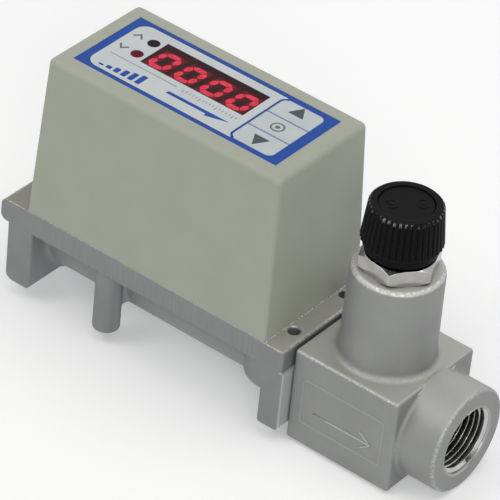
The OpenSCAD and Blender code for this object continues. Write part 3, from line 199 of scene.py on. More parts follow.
# Light: name, direction towards the lamp, angle it fills, level on a surface facing it, colour
LAMPS = (
    ("key_light", (-0.50, -0.62, 1.0), 24.0, 0.15, (1.0, 0.98, 0.93)),
    ("top_light", (0.15, 0.10, 1.0), 50.0, 0.31, (1.0, 0.985, 0.93)),
    ("side_light", (0.64, -0.66, 0.48), 24.0, 0.17, (0.98, 0.985, 0.97)),
)
WORLD_COLOUR = (0.93, 0.98, 1.03, 1.0)  # light on surfaces; rays that show the background see white
WORLD_LEVEL = 0.29
FLOOR_GLOW = 0.27  # lifts the pale floor to near white where the camera sees it
FLOOR_METRES = 12.0
FLOOR_MIDDLE_METRES = (0.05, 0.0)
FLOOR_DROP_METRES = 0.0002
WHITE = (1.0, 1.0, 1.0, 1.0)
BLACK = (0.0, 0.0, 0.0, 1.0)

# Dark boards for reflections: name, direction, distance in metres, width, height, colour
CARDS = (
    ("card_top", (0.0, 0.05, 1.0), 1.0, 0.85, 0.85, (0.10, 0.115, 0.14, 1.0)),
    ("card_right", (1.0, 0.25, 0.28), 0.8, 0.30, 0.40, (0.02, 0.02, 0.02, 1.0)),
    ("card_left", (-1.0, -0.45, 0.30), 0.8, 0.30, 0.40, (0.02, 0.02, 0.02, 1.0)),
    ("card_back", (0.1, 1.0, 0.25), 0.8, 0.45, 0.25, (0.03, 0.03, 0.03, 1.0)),
)
CARD_MIDDLE_METRES = Vector((0.058, 0.0, 0.016))


def span(node):
    """Lowest and highest corner of a CAD node, in millimetres."""
    low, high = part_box(node)
    return low / MM, high / MM


def mount_place(name):
    """Where one of the record's mounts lies, in millimetres."""
    for mount in frame["record"]["mounts"]:
        if mount["name"] == name:
            return Vector(mount["pos_m"]) / MM
    raise KeyError(name)


def srgb(red, green, blue):
    """Linear colour of an 8-bit display colour."""
    def linear(value):
        share = value / 255
        return share / 12.92 if share <= 0.04045 else ((share + 0.055) / 1.055) ** 2.4
    return (linear(red), linear(green), linear(blue), 1.0)


def scaled(colour, factor):
    """The same colour, lighter or darker."""
    return tuple(min(1.0, channel * factor) for channel in colour[:3]) + (1.0,)


# Colours that more than one place uses, and the middle stretches that a noise mostly fills
GLINT = srgb(248, 249, 248)
CAST_GREY = srgb(153, 154, 153)
INK_BLUE = srgb(34, 82, 172)
WIDE = (0.3, 0.7)
NARROW = (0.35, 0.65)


class Shader:
    """A Principled material and short calls for the nodes that feed it."""

    def __init__(self, name, colour, roughness, metallic=0.0):
        self.material = bpy.data.materials.new(name)
        self.material.use_nodes = True
        self.tree = self.material.node_tree
        self.tree.nodes.clear()
        output = self.tree.nodes.new("ShaderNodeOutputMaterial")
        self.surface = self.tree.nodes.new("ShaderNodeBsdfPrincipled")
        self.join(self.surface.outputs["BSDF"], output.inputs["Surface"])
        self.set("Base Color", colour)
        self.set("Roughness", roughness)
        self.set("Metallic", metallic)
        self.place = self.tree.nodes.new("ShaderNodeTexCoord").outputs["Object"]

    def set(self, socket, value):
        """Gives one of the surface's sockets a plain value or a node's output."""
        self.feed(self.surface, socket, value)

    def join(self, start, end):
        """Links a node's output to another node's input."""
        self.tree.links.new(start, end)

    def feed(self, node, index, value):
        """Puts a socket or a plain value into one of a node's inputs."""
        if hasattr(value, "is_linked"):
            self.join(value, node.inputs[index])
        else:
            node.inputs[index].default_value = value

    def math(self, operation, *values):
        """Result of a sum, a comparison or another operation on numbers."""
        node = self.tree.nodes.new("ShaderNodeMath")
        node.operation = operation
        for index, value in enumerate(values):
            self.feed(node, index, value)
        return node.outputs[0]

    def times(self, product, *factors):
        """Product of two or more values, such as masks."""
        for factor in factors:
            product = self.math("MULTIPLY", product, factor)
        return product

    def below(self, value, limit):
        """1 where value is less than limit millimetres, 0 elsewhere."""
        return self.math("LESS_THAN", value, limit * MM)

    def above(self, value, limit):
        """1 where value is more than limit millimetres, 0 elsewhere."""
        return self.math("GREATER_THAN", value, limit * MM)

    def distance(self, across, along):
        """Length of the line that has these two components."""
        squares = self.math("ADD", self.times(across, across), self.times(along, along))
        return self.math("SQRT", squares)

    def axes(self, vector):
        """The three components of a vector."""
        node = self.tree.nodes.new("ShaderNodeSeparateXYZ")
        self.join(vector, node.inputs[0])
        return node.outputs

    def true_normal(self):
        """The surface's own normal, in the scene's frame."""
        return self.tree.nodes.new("ShaderNodeNewGeometry").outputs["Normal"]

    def stretched(self, factors):
        """Place multiplied along each axis, for streaks."""
        node = self.tree.nodes.new("ShaderNodeVectorMath")
        node.operation = "MULTIPLY"
        self.join(self.place, node.inputs[0])
        node.inputs[1].default_value = factors
        return node.outputs[0]

    def noise(self, size, detail=3.0, roughness=0.55, where=None):
        """Noise whose blobs are about size millimetres across."""
        node = self.tree.nodes.new("ShaderNodeTexNoise")
        self.join(where or self.place, node.inputs["Vector"])
        node.inputs["Scale"].default_value = 1 / (size * MM)
        node.inputs["Detail"].default_value = detail
        node.inputs["Roughness"].default_value = roughness
        return node.outputs["Fac"]

    def cells(self, size):
        """Distance to the nearest of scattered points, size millimetres apart."""
        node = self.tree.nodes.new("ShaderNodeTexVoronoi")
        self.join(self.place, node.inputs["Vector"])
        node.inputs["Scale"].default_value = 1 / (size * MM)
        return node.outputs["Distance"]

    def between(self, value, low, high, start=0.0, end=1.0):
        """Maps low..high to start..end and holds it there."""
        node = self.tree.nodes.new("ShaderNodeMapRange")
        self.join(value, node.inputs["Value"])
        for name, number in (("From Min", low), ("From Max", high), ("To Min", start), ("To Max", end)):
            node.inputs[name].default_value = number
        return node.outputs["Result"]

    def ramp(self, value, reach, start=0.0, end=1.0):
        """Maps a length between two millimetre marks to start..end and holds it there."""
        return self.between(value, reach[0] * MM, reach[1] * MM, start, end)

    def tilted(self, component):
        """1 on a rounded edge that turns towards an axis, 0 on the flat faces beside it."""
        return self.times(self.between(component, 0.25, 0.5), self.between(component, 0.97, 0.88))

    def mix(self, share, first, second):
        """Colour between first and second."""
        node = self.tree.nodes.new("ShaderNodeMix")
        node.data_type = "RGBA"
        self.feed(node, 0, share)
        self.feed(node, 6, first)
        self.feed(node, 7, second)
        return node.outputs[2]

    def blend(self, share, first, second):
        """Number between first and second."""
        node = self.tree.nodes.new("ShaderNodeMix")
        node.data_type = "FLOAT"
        self.feed(node, 0, share)
        self.feed(node, 2, first)
        self.feed(node, 3, second)
        return node.outputs[0]

    def soft_edge(self, radius):
        """Normal that rounds every edge by radius, and how much it turns there."""
        bevel = self.tree.nodes.new("ShaderNodeBevel")
        bevel.samples = 6
        bevel.inputs["Radius"].default_value = radius * MM
        dot = self.tree.nodes.new("ShaderNodeVectorMath")
        dot.operation = "DOT_PRODUCT"
        self.join(bevel.outputs[0], dot.inputs[0])
        self.join(self.true_normal(), dot.inputs[1])
        return bevel.outputs[0], self.between(dot.outputs["Value"], 0.995, 0.8)

    def bump(self, height, depth, normal=None):
        """Adds relief that is depth millimetres deep."""
        node = self.tree.nodes.new("ShaderNodeBump")
        node.inputs["Strength"].default_value = 1.0
        node.inputs["Distance"].default_value = depth * MM
        self.join(height, node.inputs["Height"])
        if normal is not None:
            self.join(normal, node.inputs["Normal"])
        self.join(node.outputs[0], self.surface.inputs["Normal"])


def brush_band(shader, band, grey, glint, colour, rough, height):
    """Brushes the plate's sides inside band, and paints fill light onto the end and under faces below it."""
    low, high = band
    x, _, z = shader.axes(shader.place)
    facing = shader.axes(shader.true_normal())
    left_of_end = shader.below(x, high.x)
    sideways = shader.between(shader.math("ABSOLUTE", facing[1]), 0.90, 0.98)
    mask = shader.times(sideways, shader.above(x, low.x), left_of_end,
                        shader.above(z, low.z), shader.below(z, high.z))
    # Painted fill light: faces under the plate that turn to +X or downwards are made lighter.
    end_or_under = shader.math("MAXIMUM", shader.between(facing[0], 0.9, 0.99),
                               shader.between(facing[2], 0.0, -0.4))
    painted_fill = shader.times(end_or_under, shader.below(z, low.z), left_of_end)
    colour = shader.mix(painted_fill, colour, shader.mix(glint, scaled(grey, 1.28), GLINT))
    lines = shader.noise(0.26, 3.0, 0.6, shader.stretched((1.0, 1.0, 0.03)))
    brushed = shader.mix(shader.between(lines, *NARROW), scaled(grey, 0.88), grey)
    return (shader.mix(mask, colour, brushed), shader.blend(mask, rough, 0.4),
            shader.blend(mask, height, lines))


def turn_bore(shader, mouth, way, colour, rough, height):
    """Makes a port's wall smooth, with painted shade: light at its mouth and dark towards its floor."""
    x, y, z = shader.axes(shader.place)
    off_axis = shader.distance(y, shader.math("SUBTRACT", z, mouth.z * MM))
    inside = shader.below(off_axis, THREAD_ROOT_R + BORE_MARGIN)
    depth = shader.times(shader.math("SUBTRACT", x, mouth.x * MM), float(way))
    # Painted shade: the port's wall darkens with depth.
    painted_bore_shade = shader.mix(shader.ramp(depth, BORE_SHADE), srgb(172, 172, 170), srgb(46, 45, 44))
    return (shader.mix(inside, colour, painted_bore_shade), shader.blend(inside, rough, 0.16),
            shader.blend(inside, height, 0.5))


def cast_steel(name, grey, mouth, way, top, calm_z, boss_x=None, crown_z=None, band=None, lit_end_corner=None):
    """Shot-blasted stainless casting, light on its edges from wear and painted highlights, and smooth inside
    its port.

    mouth: middle of the port's mouth; way: 1 where the port runs towards +X, -1 towards -X.
    top: the colours of upward faces, at the left and at the right; painted light that makes the tops lighter
    than the sides.
    calm_z: a height at which the upper rims' wear and painted highlight are held back.
    boss_x: where an outlet boss starts; its mouth's rim has wear and a painted highlight, and its upper side
    hasn't.
    crown_z: height of the tower's top, with a painted highlight ring just below it.
    band: lowest and highest corner of the plate's brushed sides.
    machined: upper outer corner of the outlet flange's end face, which is painted light.
    """
    shader = Shader(name, grey, 0.5, 0.6)
    x, _, z = shader.axes(shader.place)
    facing = shader.axes(shader.true_normal())
    cloud = shader.noise(9.0, 4.0)
    grain = shader.noise(0.3, 2.0, 0.7)
    pits = shader.between(shader.cells(0.8), 0.0, 0.3)
    sparkle = shader.noise(0.55, 3.0, 0.75)
    normal, edge = shader.soft_edge(0.5)

    colour = shader.mix(shader.between(cloud, *NARROW), scaled(grey, 0.94), scaled(grey, 1.04))
    # Painted light: upward faces take the top colours, lighter than the sides as if lit from above.
    painted_top_light = shader.between(facing[2], 0.55, 0.95)
    colour = shader.mix(painted_top_light, colour, shader.mix(shader.ramp(x, TOP_FADE_X), *top))
    # Painted highlight: a light ring on the rounding just under the tower's top.
    if crown_z:
        depths = [crown_z - depth for depth in CROWN_RING]
        ring = shader.times(shader.between(facing[2], 0.25, 0.5), shader.ramp(z, depths))
        colour = shader.mix(ring, colour, srgb(196, 195, 190))
    # Painted light: the outlet flange's end face is lightened where it turns to +X.
    if lit_end_corner:
        painted_end_light = shader.times(shader.below(z, lit_end_corner.z), shader.above(x, lit_end_corner.x - LIT_FACE_DEPTH),
                                shader.between(facing[0], 0.5, 0.9))
        colour = shader.mix(painted_end_light, colour, srgb(205, 207, 208))
    colour = shader.mix(shader.between(grain, *WIDE, 0.0, 0.22), colour, scaled(grey, 1.22))

    # Painted highlight, partly wear: edges and upper rims turn towards the near-white glint colour in
    # sparkling dashes.
    off_calm = shader.math("ABSOLUTE", shader.math("SUBTRACT", z, calm_z * MM))
    calm = shader.ramp(off_calm, CALM_REACH, CALM_WEAR_GLINT)
    rims = shader.times(shader.tilted(facing[2]), calm, RIM_WEAR_GLINT)
    if boss_x:
        mouth_rim = shader.times(shader.tilted(facing[0]), shader.above(x, boss_x + BOSS_SIDE), MOUTH_WEAR_GLINT)
        rims = shader.math("MAXIMUM", shader.times(rims, shader.below(x, boss_x)), mouth_rim)
    wear_and_glint = shader.math("MAXIMUM", shader.times(edge, EDGE_WEAR_GLINT), rims)
    glint = shader.times(wear_and_glint, shader.between(sparkle, 0.46, 0.58, 0.1, 1.0))
    colour = shader.mix(glint, colour, GLINT)
    rough = shader.blend(glint, shader.between(grain, *WIDE, 0.54, 0.66), 0.3)
    height = shader.blend(0.25, grain, pits)

    if band:
        colour, rough, height = brush_band(shader, band, grey, glint, colour, rough, height)
    colour, rough, height = turn_bore(shader, mouth, way, colour, rough, height)
    shader.set("Base Color", colour)
    shader.set("Roughness", rough)
    shader.bump(height, CAST_RELIEF, normal)
    return shader.material


def bright_steel(name, colour=srgb(162, 160, 156), turned=True, underside_shade=None):
    """Machined steel with fine marks, turned or drawn along Z, a few dull patches, painted highlights along
    its edges and, where underside is given, painted shade on its downward faces.
    """
    shader = Shader(name, colour, 0.14, 1.0)
    patch = shader.noise(3.0, 3.0)
    marks = shader.noise(0.16, 2.0, 0.5, shader.stretched((0.15, 0.15, 1.0) if turned else (1, 1, 0.1)))
    normal, edge = shader.soft_edge(0.2)
    shade = shader.mix(shader.between(patch, 0.35, 0.7), colour, scaled(colour, 0.82))
    # Painted highlight: a light line along every edge.
    shade = shader.mix(shader.times(edge, 0.8), shade, srgb(244, 244, 242))
    # Painted shade: downward faces take the dark underside colour.
    if underside_shade:
        up = shader.axes(shader.true_normal())[2]
        shade = shader.mix(shader.between(up, -0.15, -0.35), shade, underside_shade)
    shader.set("Base Color", shade)
    shader.set("Roughness", shader.between(patch, *WIDE, 0.10, 0.24))
    shader.bump(marks, 0.003, normal)
    return shader.material


def painted_groove_glints(shader, crown, count):
    """Where the knob's grooves run out under its crown: patches of painted highlight that stand in for
    glints.
    """
    x, y, z = shader.axes(shader.place)
    across = shader.math("SUBTRACT", x, crown.x * MM)
    wave = shader.math("COSINE", shader.times(shader.math("ARCTAN2", y, across), float(count)))
    return shader.times(
        shader.between(wave, -0.1, 0.5),
        shader.ramp(z, [crown.z - depth for depth in GROOVE_RISE]),
        shader.ramp(z, [crown.z - depth for depth in GROOVE_FADE]),
        shader.above(shader.distance(across, y), CAP_DISC_R),
        shader.between(shader.noise(2.2, 2.0), 0.44, 0.58))


def moulding(name, colour, roughness, relief=0.006, tint=1.0, gloss=0.35, wear_and_sheen_colour=None, grooves=None):
    """Moulded polymer: faint mottling, fine satin grain and softened edges.

    tint strengthens the mottling and the light edges, which are partly wear and partly painted highlight;
    grooves: the knob's crown and its count of grooves, whose upper ends get a painted highlight.
    """
    shader = Shader(name, colour, roughness)
    cloud = shader.noise(11.0, 4.0)
    grain = shader.noise(0.28, 2.0, 0.6)
    normal, edge = shader.soft_edge(0.2)
    shade = shader.mix(shader.between(cloud, *WIDE), scaled(colour, 1 - 0.025 * tint),
                       scaled(colour, 1 + 0.02 * tint))
    # Lighter edges: partly wear and partly painted highlight.
    wear_and_glint = shader.times(edge, shader.between(grain, *WIDE, 0.02, 0.14 * tint))
    shade = shader.mix(wear_and_glint, shade, wear_and_sheen_colour or scaled(colour, 1.3))
    if grooves:
        # Painted highlight at the upper ends of the knob's grooves.
        shade = shader.mix(painted_groove_glints(shader, *grooves), shade, srgb(150, 156, 164))
    shader.set("Base Color", shade)
    shader.set("Roughness", shader.between(grain, *WIDE, roughness - 0.05, roughness + 0.06))
    shader.set("Specular IOR Level", gloss)
    shader.bump(grain, relief, normal)
    return shader.material


def cast_marks(name):
    """Raised marks of the casting, with painted highlights: the crests that stand highest are painted
    lighter.
    """
    shader = Shader(name, srgb(160, 160, 158), 0.5, 0.6)
    grain = shader.noise(0.3, 2.0, 0.7)
    y = shader.axes(shader.place)[1]
    # Painted highlight: the highest crests of the marks are lighter.
    crest_highlight = shader.ramp(y, [BLOCK_FRONT - height for height in CREST_HIGHLIGHT])
    low = shader.mix(shader.between(grain, *WIDE), CAST_GREY, srgb(174, 175, 173))
    shader.set("Base Color", shader.mix(crest_highlight, low, srgb(192, 193, 191)))
    shader.bump(grain, 0.02)
    return shader.material


def painted_glint_edge(name):
    """Edge with a painted highlight in short near-white dashes, standing in for glints."""
    shader = Shader(name, srgb(170, 170, 168), 0.4, 0.6)
    sparkle = shader.noise(0.5, 2.0, 0.7)
    grain = shader.noise(0.3, 2.0, 0.7)
    # Painted highlight: near-white dashes where the noise peaks.
    glint = shader.between(sparkle, 0.47, 0.56)
    shader.set("Base Color", shader.mix(glint, srgb(168, 167, 161), srgb(250, 251, 253)))
    shader.set("Roughness", shader.blend(glint, 0.6, 0.3))
    shader.bump(grain, 0.02)
    return shader.material


def printed_film(name, colour):
    """Screen-printed polyester film with a fine matt texture."""
    shader = Shader(name, colour, 0.34)
    grain = shader.noise(0.12, 2.0, 0.6)
    cloud = shader.noise(6.0, 3.0)
    shade = shader.mix(shader.between(cloud, *WIDE), scaled(colour, 0.96), scaled(colour, 1.03))
    shader.set("Base Color", shade)
    shader.set("Roughness", shader.between(grain, *WIDE, 0.28, 0.42))
    shader.set("Specular IOR Level", 0.14)
    shader.bump(grain, 0.002)
    return shader.material


def window_acrylic(name):
    """Dark red acrylic with a soft red glow round each lit figure."""
    colour = srgb(52, 22, 25)
    shader = Shader(name, colour, 0.12)
    cloud = shader.noise(5.0, 3.0)
    x, y, _ = shader.axes(shader.place)
    low, half_w, half_h = FIGURE_Y * MM, FIGURE_W / 2 * MM, FIGURE_H / 2 * MM
    half_pitch = FIGURE_PITCH / 2 * MM
    lean = shader.times(shader.math("SUBTRACT", y, low), FIGURE_SLOPE)
    across = shader.math("SUBTRACT", shader.math("SUBTRACT", x, lean), FIGURE_X * MM + half_w)
    across = shader.math("WRAP", across, half_pitch, -half_pitch)
    beside = shader.math("SUBTRACT", shader.math("ABSOLUTE", across), half_w)
    above = shader.math("SUBTRACT", shader.math("ABSOLUTE", shader.math("SUBTRACT", y, low + half_h)), half_h)
    off_stroke = shader.math("ABSOLUTE", shader.math("MAXIMUM", beside, above))
    base = shader.mix(shader.between(cloud, *NARROW), scaled(colour, 0.8), scaled(colour, 1.2))
    glow = shader.ramp(off_stroke, GLOW_REACH, GLOW_LEVEL, 0.0)
    shader.set("Base Color", shader.mix(glow, base, srgb(136, 28, 40)))
    shader.set("Specular IOR Level", 0.08)
    shader.bump(cloud, 0.004)
    return shader.material


def lit_figure(name):
    """Red light-emitting segment."""
    shader = Shader(name, srgb(200, 34, 52), 0.4)
    cloud = shader.noise(0.8, 2.0)
    glow = shader.mix(shader.between(cloud, *WIDE), srgb(206, 36, 58), srgb(232, 72, 96))
    shader.set("Base Color", glow)
    shader.set("Specular IOR Level", 0.1)
    shader.set("Emission Color", glow)
    shader.set("Emission Strength", 0.2)
    return shader.material


def lamp_dome(name, split_y):
    """Two lamps in one CAD node: the one behind split_y nearly black, the front one dark red."""
    dark, red = srgb(40, 22, 24), srgb(112, 18, 34)
    shader = Shader(name, red, 0.3)
    rear = shader.above(shader.axes(shader.place)[1], split_y)
    cloud = shader.noise(0.7, 2.0)
    front_shade = shader.mix(cloud, scaled(red, 0.75), scaled(red, 1.2))
    shader.set("Base Color", shader.mix(rear, front_shade, dark))
    shader.set("Specular IOR Level", 0.06)
    shader.bump(cloud, 0.004)
    return shader.material


def circuit_board(name):
    """Green solder mask over darker tracks."""
    green = srgb(24, 92, 56)
    shader = Shader(name, green, 0.35)
    tracks = shader.noise(1.1, 1.0, 0.4, shader.stretched((1.0, 0.25, 1.0)))
    shader.set("Base Color", shader.mix(shader.between(tracks, 0.46, 0.5), green, scaled(green, 0.6)))
    shader.bump(tracks, 0.02)
    return shader.material


def woven_wire(name, pitch=0.4):
    """Fine square mesh, as crossed waves of wire."""
    shader = Shader(name, srgb(150, 150, 150), 0.35, 1.0)
    _, y, z = shader.axes(shader.place)
    waves = [shader.math("SINE", shader.times(axis, 2 * math.pi / (pitch * MM))) for axis in (y, z)]
    weave = shader.between(shader.math("MAXIMUM", *waves), -0.2, 0.9)
    shader.set("Base Color", shader.mix(weave, srgb(30, 30, 30), srgb(190, 190, 188)))
    shader.bump(weave, 0.08)
    return shader.material


def place_mesh(name, mesh, material, body):
    """Makes a piece from a mesh already in the shared frame, and fixes it to a body."""
    piece = bpy.data.objects.new(name, mesh)
    bpy.context.scene.collection.objects.link(piece)
    mesh.materials.clear()
    mesh.materials.append(material)
    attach(piece, body)


def around(centre, radius, degrees):
    """The point of a circle at an angle."""
    angle = math.radians(degrees)
    return (centre[0] + radius * math.cos(angle), centre[1] + radius * math.sin(angle))


def arc_points(centre, radius, start, end, steps):
    """Points along an arc, angles in degrees."""
    return [around(centre, radius, start + (end - start) * k / steps) for k in range(steps + 1)]


def circle(centre, radius, count=48):
    """Closed outline of a circle."""
    return arc_points(centre, radius, 0, 360 - 360 / count, count - 1)


def rounded_loop(x0, y0, x1, y1, radius, steps):
    """Closed outline of a rectangle with rounded corners, from the lower left one."""
    corners = ((x0, y0, 1, 1, 180), (x1, y0, -1, 1, 270), (x1, y1, -1, -1, 0), (x0, y1, 1, -1, 90))
    points = []
    for x, y, sx, sy, start in corners:
        points += arc_points((x + sx * radius, y + sy * radius), radius, start, start + 90, steps)
    return points


def flat_print(name, loops, z, material, body="root", thickness=PRINT_THICKNESS):
    """Thin layer in the XY plane whose underside is at z; later loops inside the first are holes."""
    curve = bpy.data.curves.new(name, "CURVE")
    curve.dimensions = "2D"
    curve.fill_mode = "BOTH"
    curve.extrude = thickness / 2 * MM
    for loop in loops:
        spline = curve.splines.new("POLY")
        spline.points.add(len(loop) - 1)
        for point, (x, y) in zip(spline.points, loop):
            point.co = (x * MM, y * MM, 0.0, 1.0)
        spline.use_cyclic_u = True
    holder = bpy.data.objects.new(name + "_outline", curve)
    bpy.context.scene.collection.objects.link(holder)
    bpy.context.view_layer.update()
    shape = holder.evaluated_get(bpy.context.evaluated_depsgraph_get())
    mesh = bpy.data.meshes.new_from_object(shape)
    bpy.data.objects.remove(holder)
    shell = bmesh.new()
    shell.from_mesh(mesh)
    bmesh.ops.remove_doubles(shell, verts=shell.verts, dist=1e-7)
    bmesh.ops.translate(shell, verts=shell.verts, vec=(0, 0, (z + thickness / 2) * MM))
    bmesh.ops.recalc_face_normals(shell, faces=shell.faces)
    shell.to_mesh(mesh)
    shell.free()
    place_mesh(name, mesh, material, body)


def slanted_segment(ends, width, slope):
    """Six-sided bar between two points, with pointed ends, leaning with the figure."""
    (xa, ya), (xb, yb) = ends
    length = math.hypot(xb - xa, yb - ya)
    ux, uy = (xb - xa) / length, (yb - ya) / length
    half = width / 2
    shape = [(0, 0), (half, half), (length - half, half), (length, 0), (length - half, -half), (half, -half)]
    flat = [(xa + ux * a - uy * b, ya + uy * a + ux * b) for a, b in shape]
    return [(x + slope * y, y) for x, y in flat]


def nought_loops(x, y):
    """The six lit segments of a nought, its lower left corner at x, y."""
    width, height, gap, half = FIGURE_W, FIGURE_H, FIGURE_GAP, FIGURE_H / 2
    ends = [((0, gap), (0, half - gap)), ((0, half + gap), (0, height - gap)),
            ((width, gap), (width, half - gap)), ((width, half + gap), (width, height - gap)),
            ((gap, 0), (width - gap, 0)), ((gap, height), (width - gap, height))]
    outlines = [slanted_segment(pair, FIGURE_STROKE, FIGURE_SLOPE) for pair in ends]
    return [[(x + px, y + py) for px, py in outline] for outline in outlines]


def make_figures(material):
    """The red figures on the window's face."""
    z = span("display_window")[1].z - FIGURE_SINK
    loops = []
    for k in range(FIGURE_COUNT):
        loops += nought_loops(FIGURE_X + FIGURE_PITCH * k, FIGURE_Y)
    flat_print("lit_figures", loops, z, material)


def lamp_places():
    """Middle of the rear lamp and of the front one; their feet fill the node's box."""
    low, high = span("alarm_lamps")
    half = (high.x - low.x) / 2
    return [(low.x + half, high.y - half), (low.x + half, low.y + half)]


def make_field(materials):
    """White field with its openings, the window's rim and the light line round the field."""
    low, high = span("panel_overlay")
    window_low, window_high = span("display_window")
    left, right, front, back = WINDOW_EDGES
    opening = rounded_loop(window_low.x + left, window_low.y + front, window_high.x - right,
                           window_high.y - back, 0.15, 3)
    glass = rounded_loop(window_low.x + WINDOW_LIP, window_low.y + WINDOW_LIP, window_high.x - WINDOW_LIP,
                         window_high.y - WINDOW_LIP, 0.05, 3)
    flat_print("window_rim", [opening, glass], high.z, materials["ink_maroon"])

    x0, y0, y1 = low.x + BORDER_END, low.y + BORDER_SIDE, high.y - BORDER_SIDE
    centre = (span("key_down")[0].x + KEY_R, span("key_up")[1].y - KEY_R)
    bend = KEY_R + KEY_LINE
    reach = math.degrees(math.asin(min(1.0, (y1 - centre[1]) / bend)))
    upper = arc_points(centre, bend, 180 - min(reach, FIELD_BEND), 180, 8)
    upper[0] = (upper[0][0], y1)
    lower = [(x, -y) for x, y in upper]
    lower[0] = (lower[0][0], y0)

    def left_corners(radius):
        return (arc_points((x0 + CORNER_R, y1 - CORNER_R), radius, 90, 180, 12)
                + arc_points((x0 + CORNER_R, y0 + CORNER_R), radius, 180, 270, 12))

    field = left_corners(CORNER_R) + lower + upper[::-1]
    holes = [opening] + [circle(place, LAMP_R + LAMP_GAP) for place in lamp_places()]
    flat_print("panel_field", [field] + holes, high.z, materials["film_white"])
    end = OUTLINE_END_X
    line = (left_corners(CORNER_R) + [(end, y0), (end, y0 + OUTLINE)]
            + left_corners(CORNER_R - OUTLINE)[::-1] + [(end, y1 - OUTLINE), (end, y1)])
    flat_print("panel_outline", [line], high.z + PRINT_THICKNESS, materials["film_cream"])


def make_marks(grey, blue):
    """Rule, ticks, bars, arrow and chevrons on the field."""
    z = span("panel_overlay")[1].z + PRINT_THICKNESS
    flat_print("panel_rule", [rounded_loop(*RULE, 0.04, 2)], z, grey)
    count, x, pitch, width = TICK_ROW
    ticks = [rounded_loop(x + pitch * k, TICK_FOOT if k % LONG_TICK_EVERY else LONG_TICK_FOOT,
                          x + width + pitch * k, TICK_TOP, 0.04, 2) for k in range(count)]
    flat_print("panel_ticks", ticks, z, grey)
    count, x, pitch, width = BAR_ROW
    bars = [rounded_loop(x + pitch * k, BAR_FOOT, x + width + pitch * k, BAR_TOP + BAR_STEP * k, 0.25, 3)
            for k in range(count)]
    flat_print("panel_bars", bars, z, blue)
    flat_print("panel_arrow", [ARROW], z, blue)
    for name, (_, y), tip in zip(("mark_high", "mark_low"), lamp_places(), (1, -1)):
        flat_print(name, [[(CHEVRON_X + px, y + tip * py) for px, py in CHEVRON]], z, grey)


def key_rim(node, corner):
    """Printed line along a film key's left edge; corner is 1 or -1 where its end is rounded, or 0."""
    low, high = span(node)
    if corner == 0:
        return rounded_loop(low.x - RIM_OUT, low.y, low.x + KEY_RIM, high.y, 0.02, 2)
    end, start = (high.y, low.y) if corner > 0 else (low.y, high.y)
    centre = (low.x + KEY_R, end - corner * KEY_R)
    outer = arc_points(centre, KEY_R + RIM_OUT, 180, 180 - corner * RIM_TURN, 10)
    inner = arc_points(centre, KEY_R - KEY_RIM, 180 - corner * RIM_TURN, 180, 10)
    return [(low.x - RIM_OUT, start)] + outer + inner + [(low.x + KEY_RIM, start)]


def make_key_prints(materials):
    """Triangles, ring and dot, blue rims and pale seams on the three keys, each riding on its key."""
    low, high = span("key_set")
    z = high.z
    middle = (span("key_down")[0].x + span("key_up")[1].x) / 2

    def ink(node, mark, loops, colour):
        flat_print(node + mark, loops, z, materials[colour], node)

    for node, tip in (("key_up", 1), ("key_down", -1)):
        lo, hi = span(node)
        cy = (lo.y + hi.y) / 2 + TRIANGLE_RISE
        ink(node, "_mark", [[(middle + px, cy + tip * py) for px, py in TRIANGLE]], "ink_dark")
        ink(node, "_rim", [key_rim(node, tip)], "ink_blue")
        edge = hi.y if tip < 0 else lo.y
        front, back = sorted((edge, edge + tip * KEY_SEAM))
        ink(node, "_line", [rounded_loop(lo.x, front, hi.x, back, 0.02, 2)], "ink_pale_blue")

    ring = [circle((middle, 0), radius) for radius in RING_R]
    ink("key_set", "_mark", ring + [circle((middle, 0), DOT_R, 24)], "ink_grey")
    ink("key_set", "_rim", [key_rim("key_set", 0)], "ink_blue")
    half = KEY_SEAM / 2
    seams = [rounded_loop(low.x, y - half, high.x, y + half, 0.02, 2) for y in (low.y + half, high.y - half)]
    ink("key_set", "_lines", seams, "ink_pale_blue")


def skin(shell, rings, closed=False):
    """Joins rings of points into a tube, which is capped unless its ends meet."""
    for ring, after in zip(rings, rings[1:] + rings[:1] if closed else rings[1:]):
        for j in range(len(ring)):
            k = (j + 1) % len(ring)
            shell.faces.new((ring[j], ring[k], after[k], after[j]))
    if not closed:
        shell.faces.new(rings[0])
        shell.faces.new(list(reversed(rings[-1])))


def finished_mesh(name, shell):
    """Turns the shell's faces outward and makes a mesh of it."""
    bmesh.ops.recalc_face_normals(shell, faces=shell.faces)
    mesh = bpy.data.meshes.new(name)
    shell.to_mesh(mesh)
    shell.free()
    return mesh


def thread_ridge(name, mouth, inward, material):
    """Right-handed helical ridge of a pipe thread, from just inside the mouth to the port's floor.

    inward is 1 where the port runs towards +X and -1 where it runs towards -X.
    """
    sections = int((PORT_DEPTH - THREAD_END_GAP) / THREAD_PITCH * THREAD_STEPS)
    fade_steps = THREAD_STEPS * THREAD_FADE
    shell = bmesh.new()
    rings = []
    for k in range(sections + 1):
        angle = math.radians(THREAD_START_ANGLE) + inward * 2 * math.pi * k / THREAD_STEPS
        grown = max(THREAD_LEAST, min(1.0, k / fade_steps, (sections - k) / fade_steps))
        crest_highlight = THREAD_ROOT_R - (THREAD_ROOT_R - THREAD_CREST_R) * grown
        ring = []
        for raised, share in THREAD_PROFILE:
            radius = crest_highlight if raised else THREAD_ROOT_R + THREAD_BED
            depth = THREAD_START + THREAD_PITCH * (k / THREAD_STEPS + share * THREAD_FLANK)
            ring.append(shell.verts.new((
                (mouth.x + inward * depth) * MM,
                (mouth.y + radius * math.cos(angle)) * MM,
                (mouth.z + radius * math.sin(angle)) * MM)))
        rings.append(ring)
    skin(shell, rings)
    place_mesh(name, finished_mesh(name, shell), material, "root")


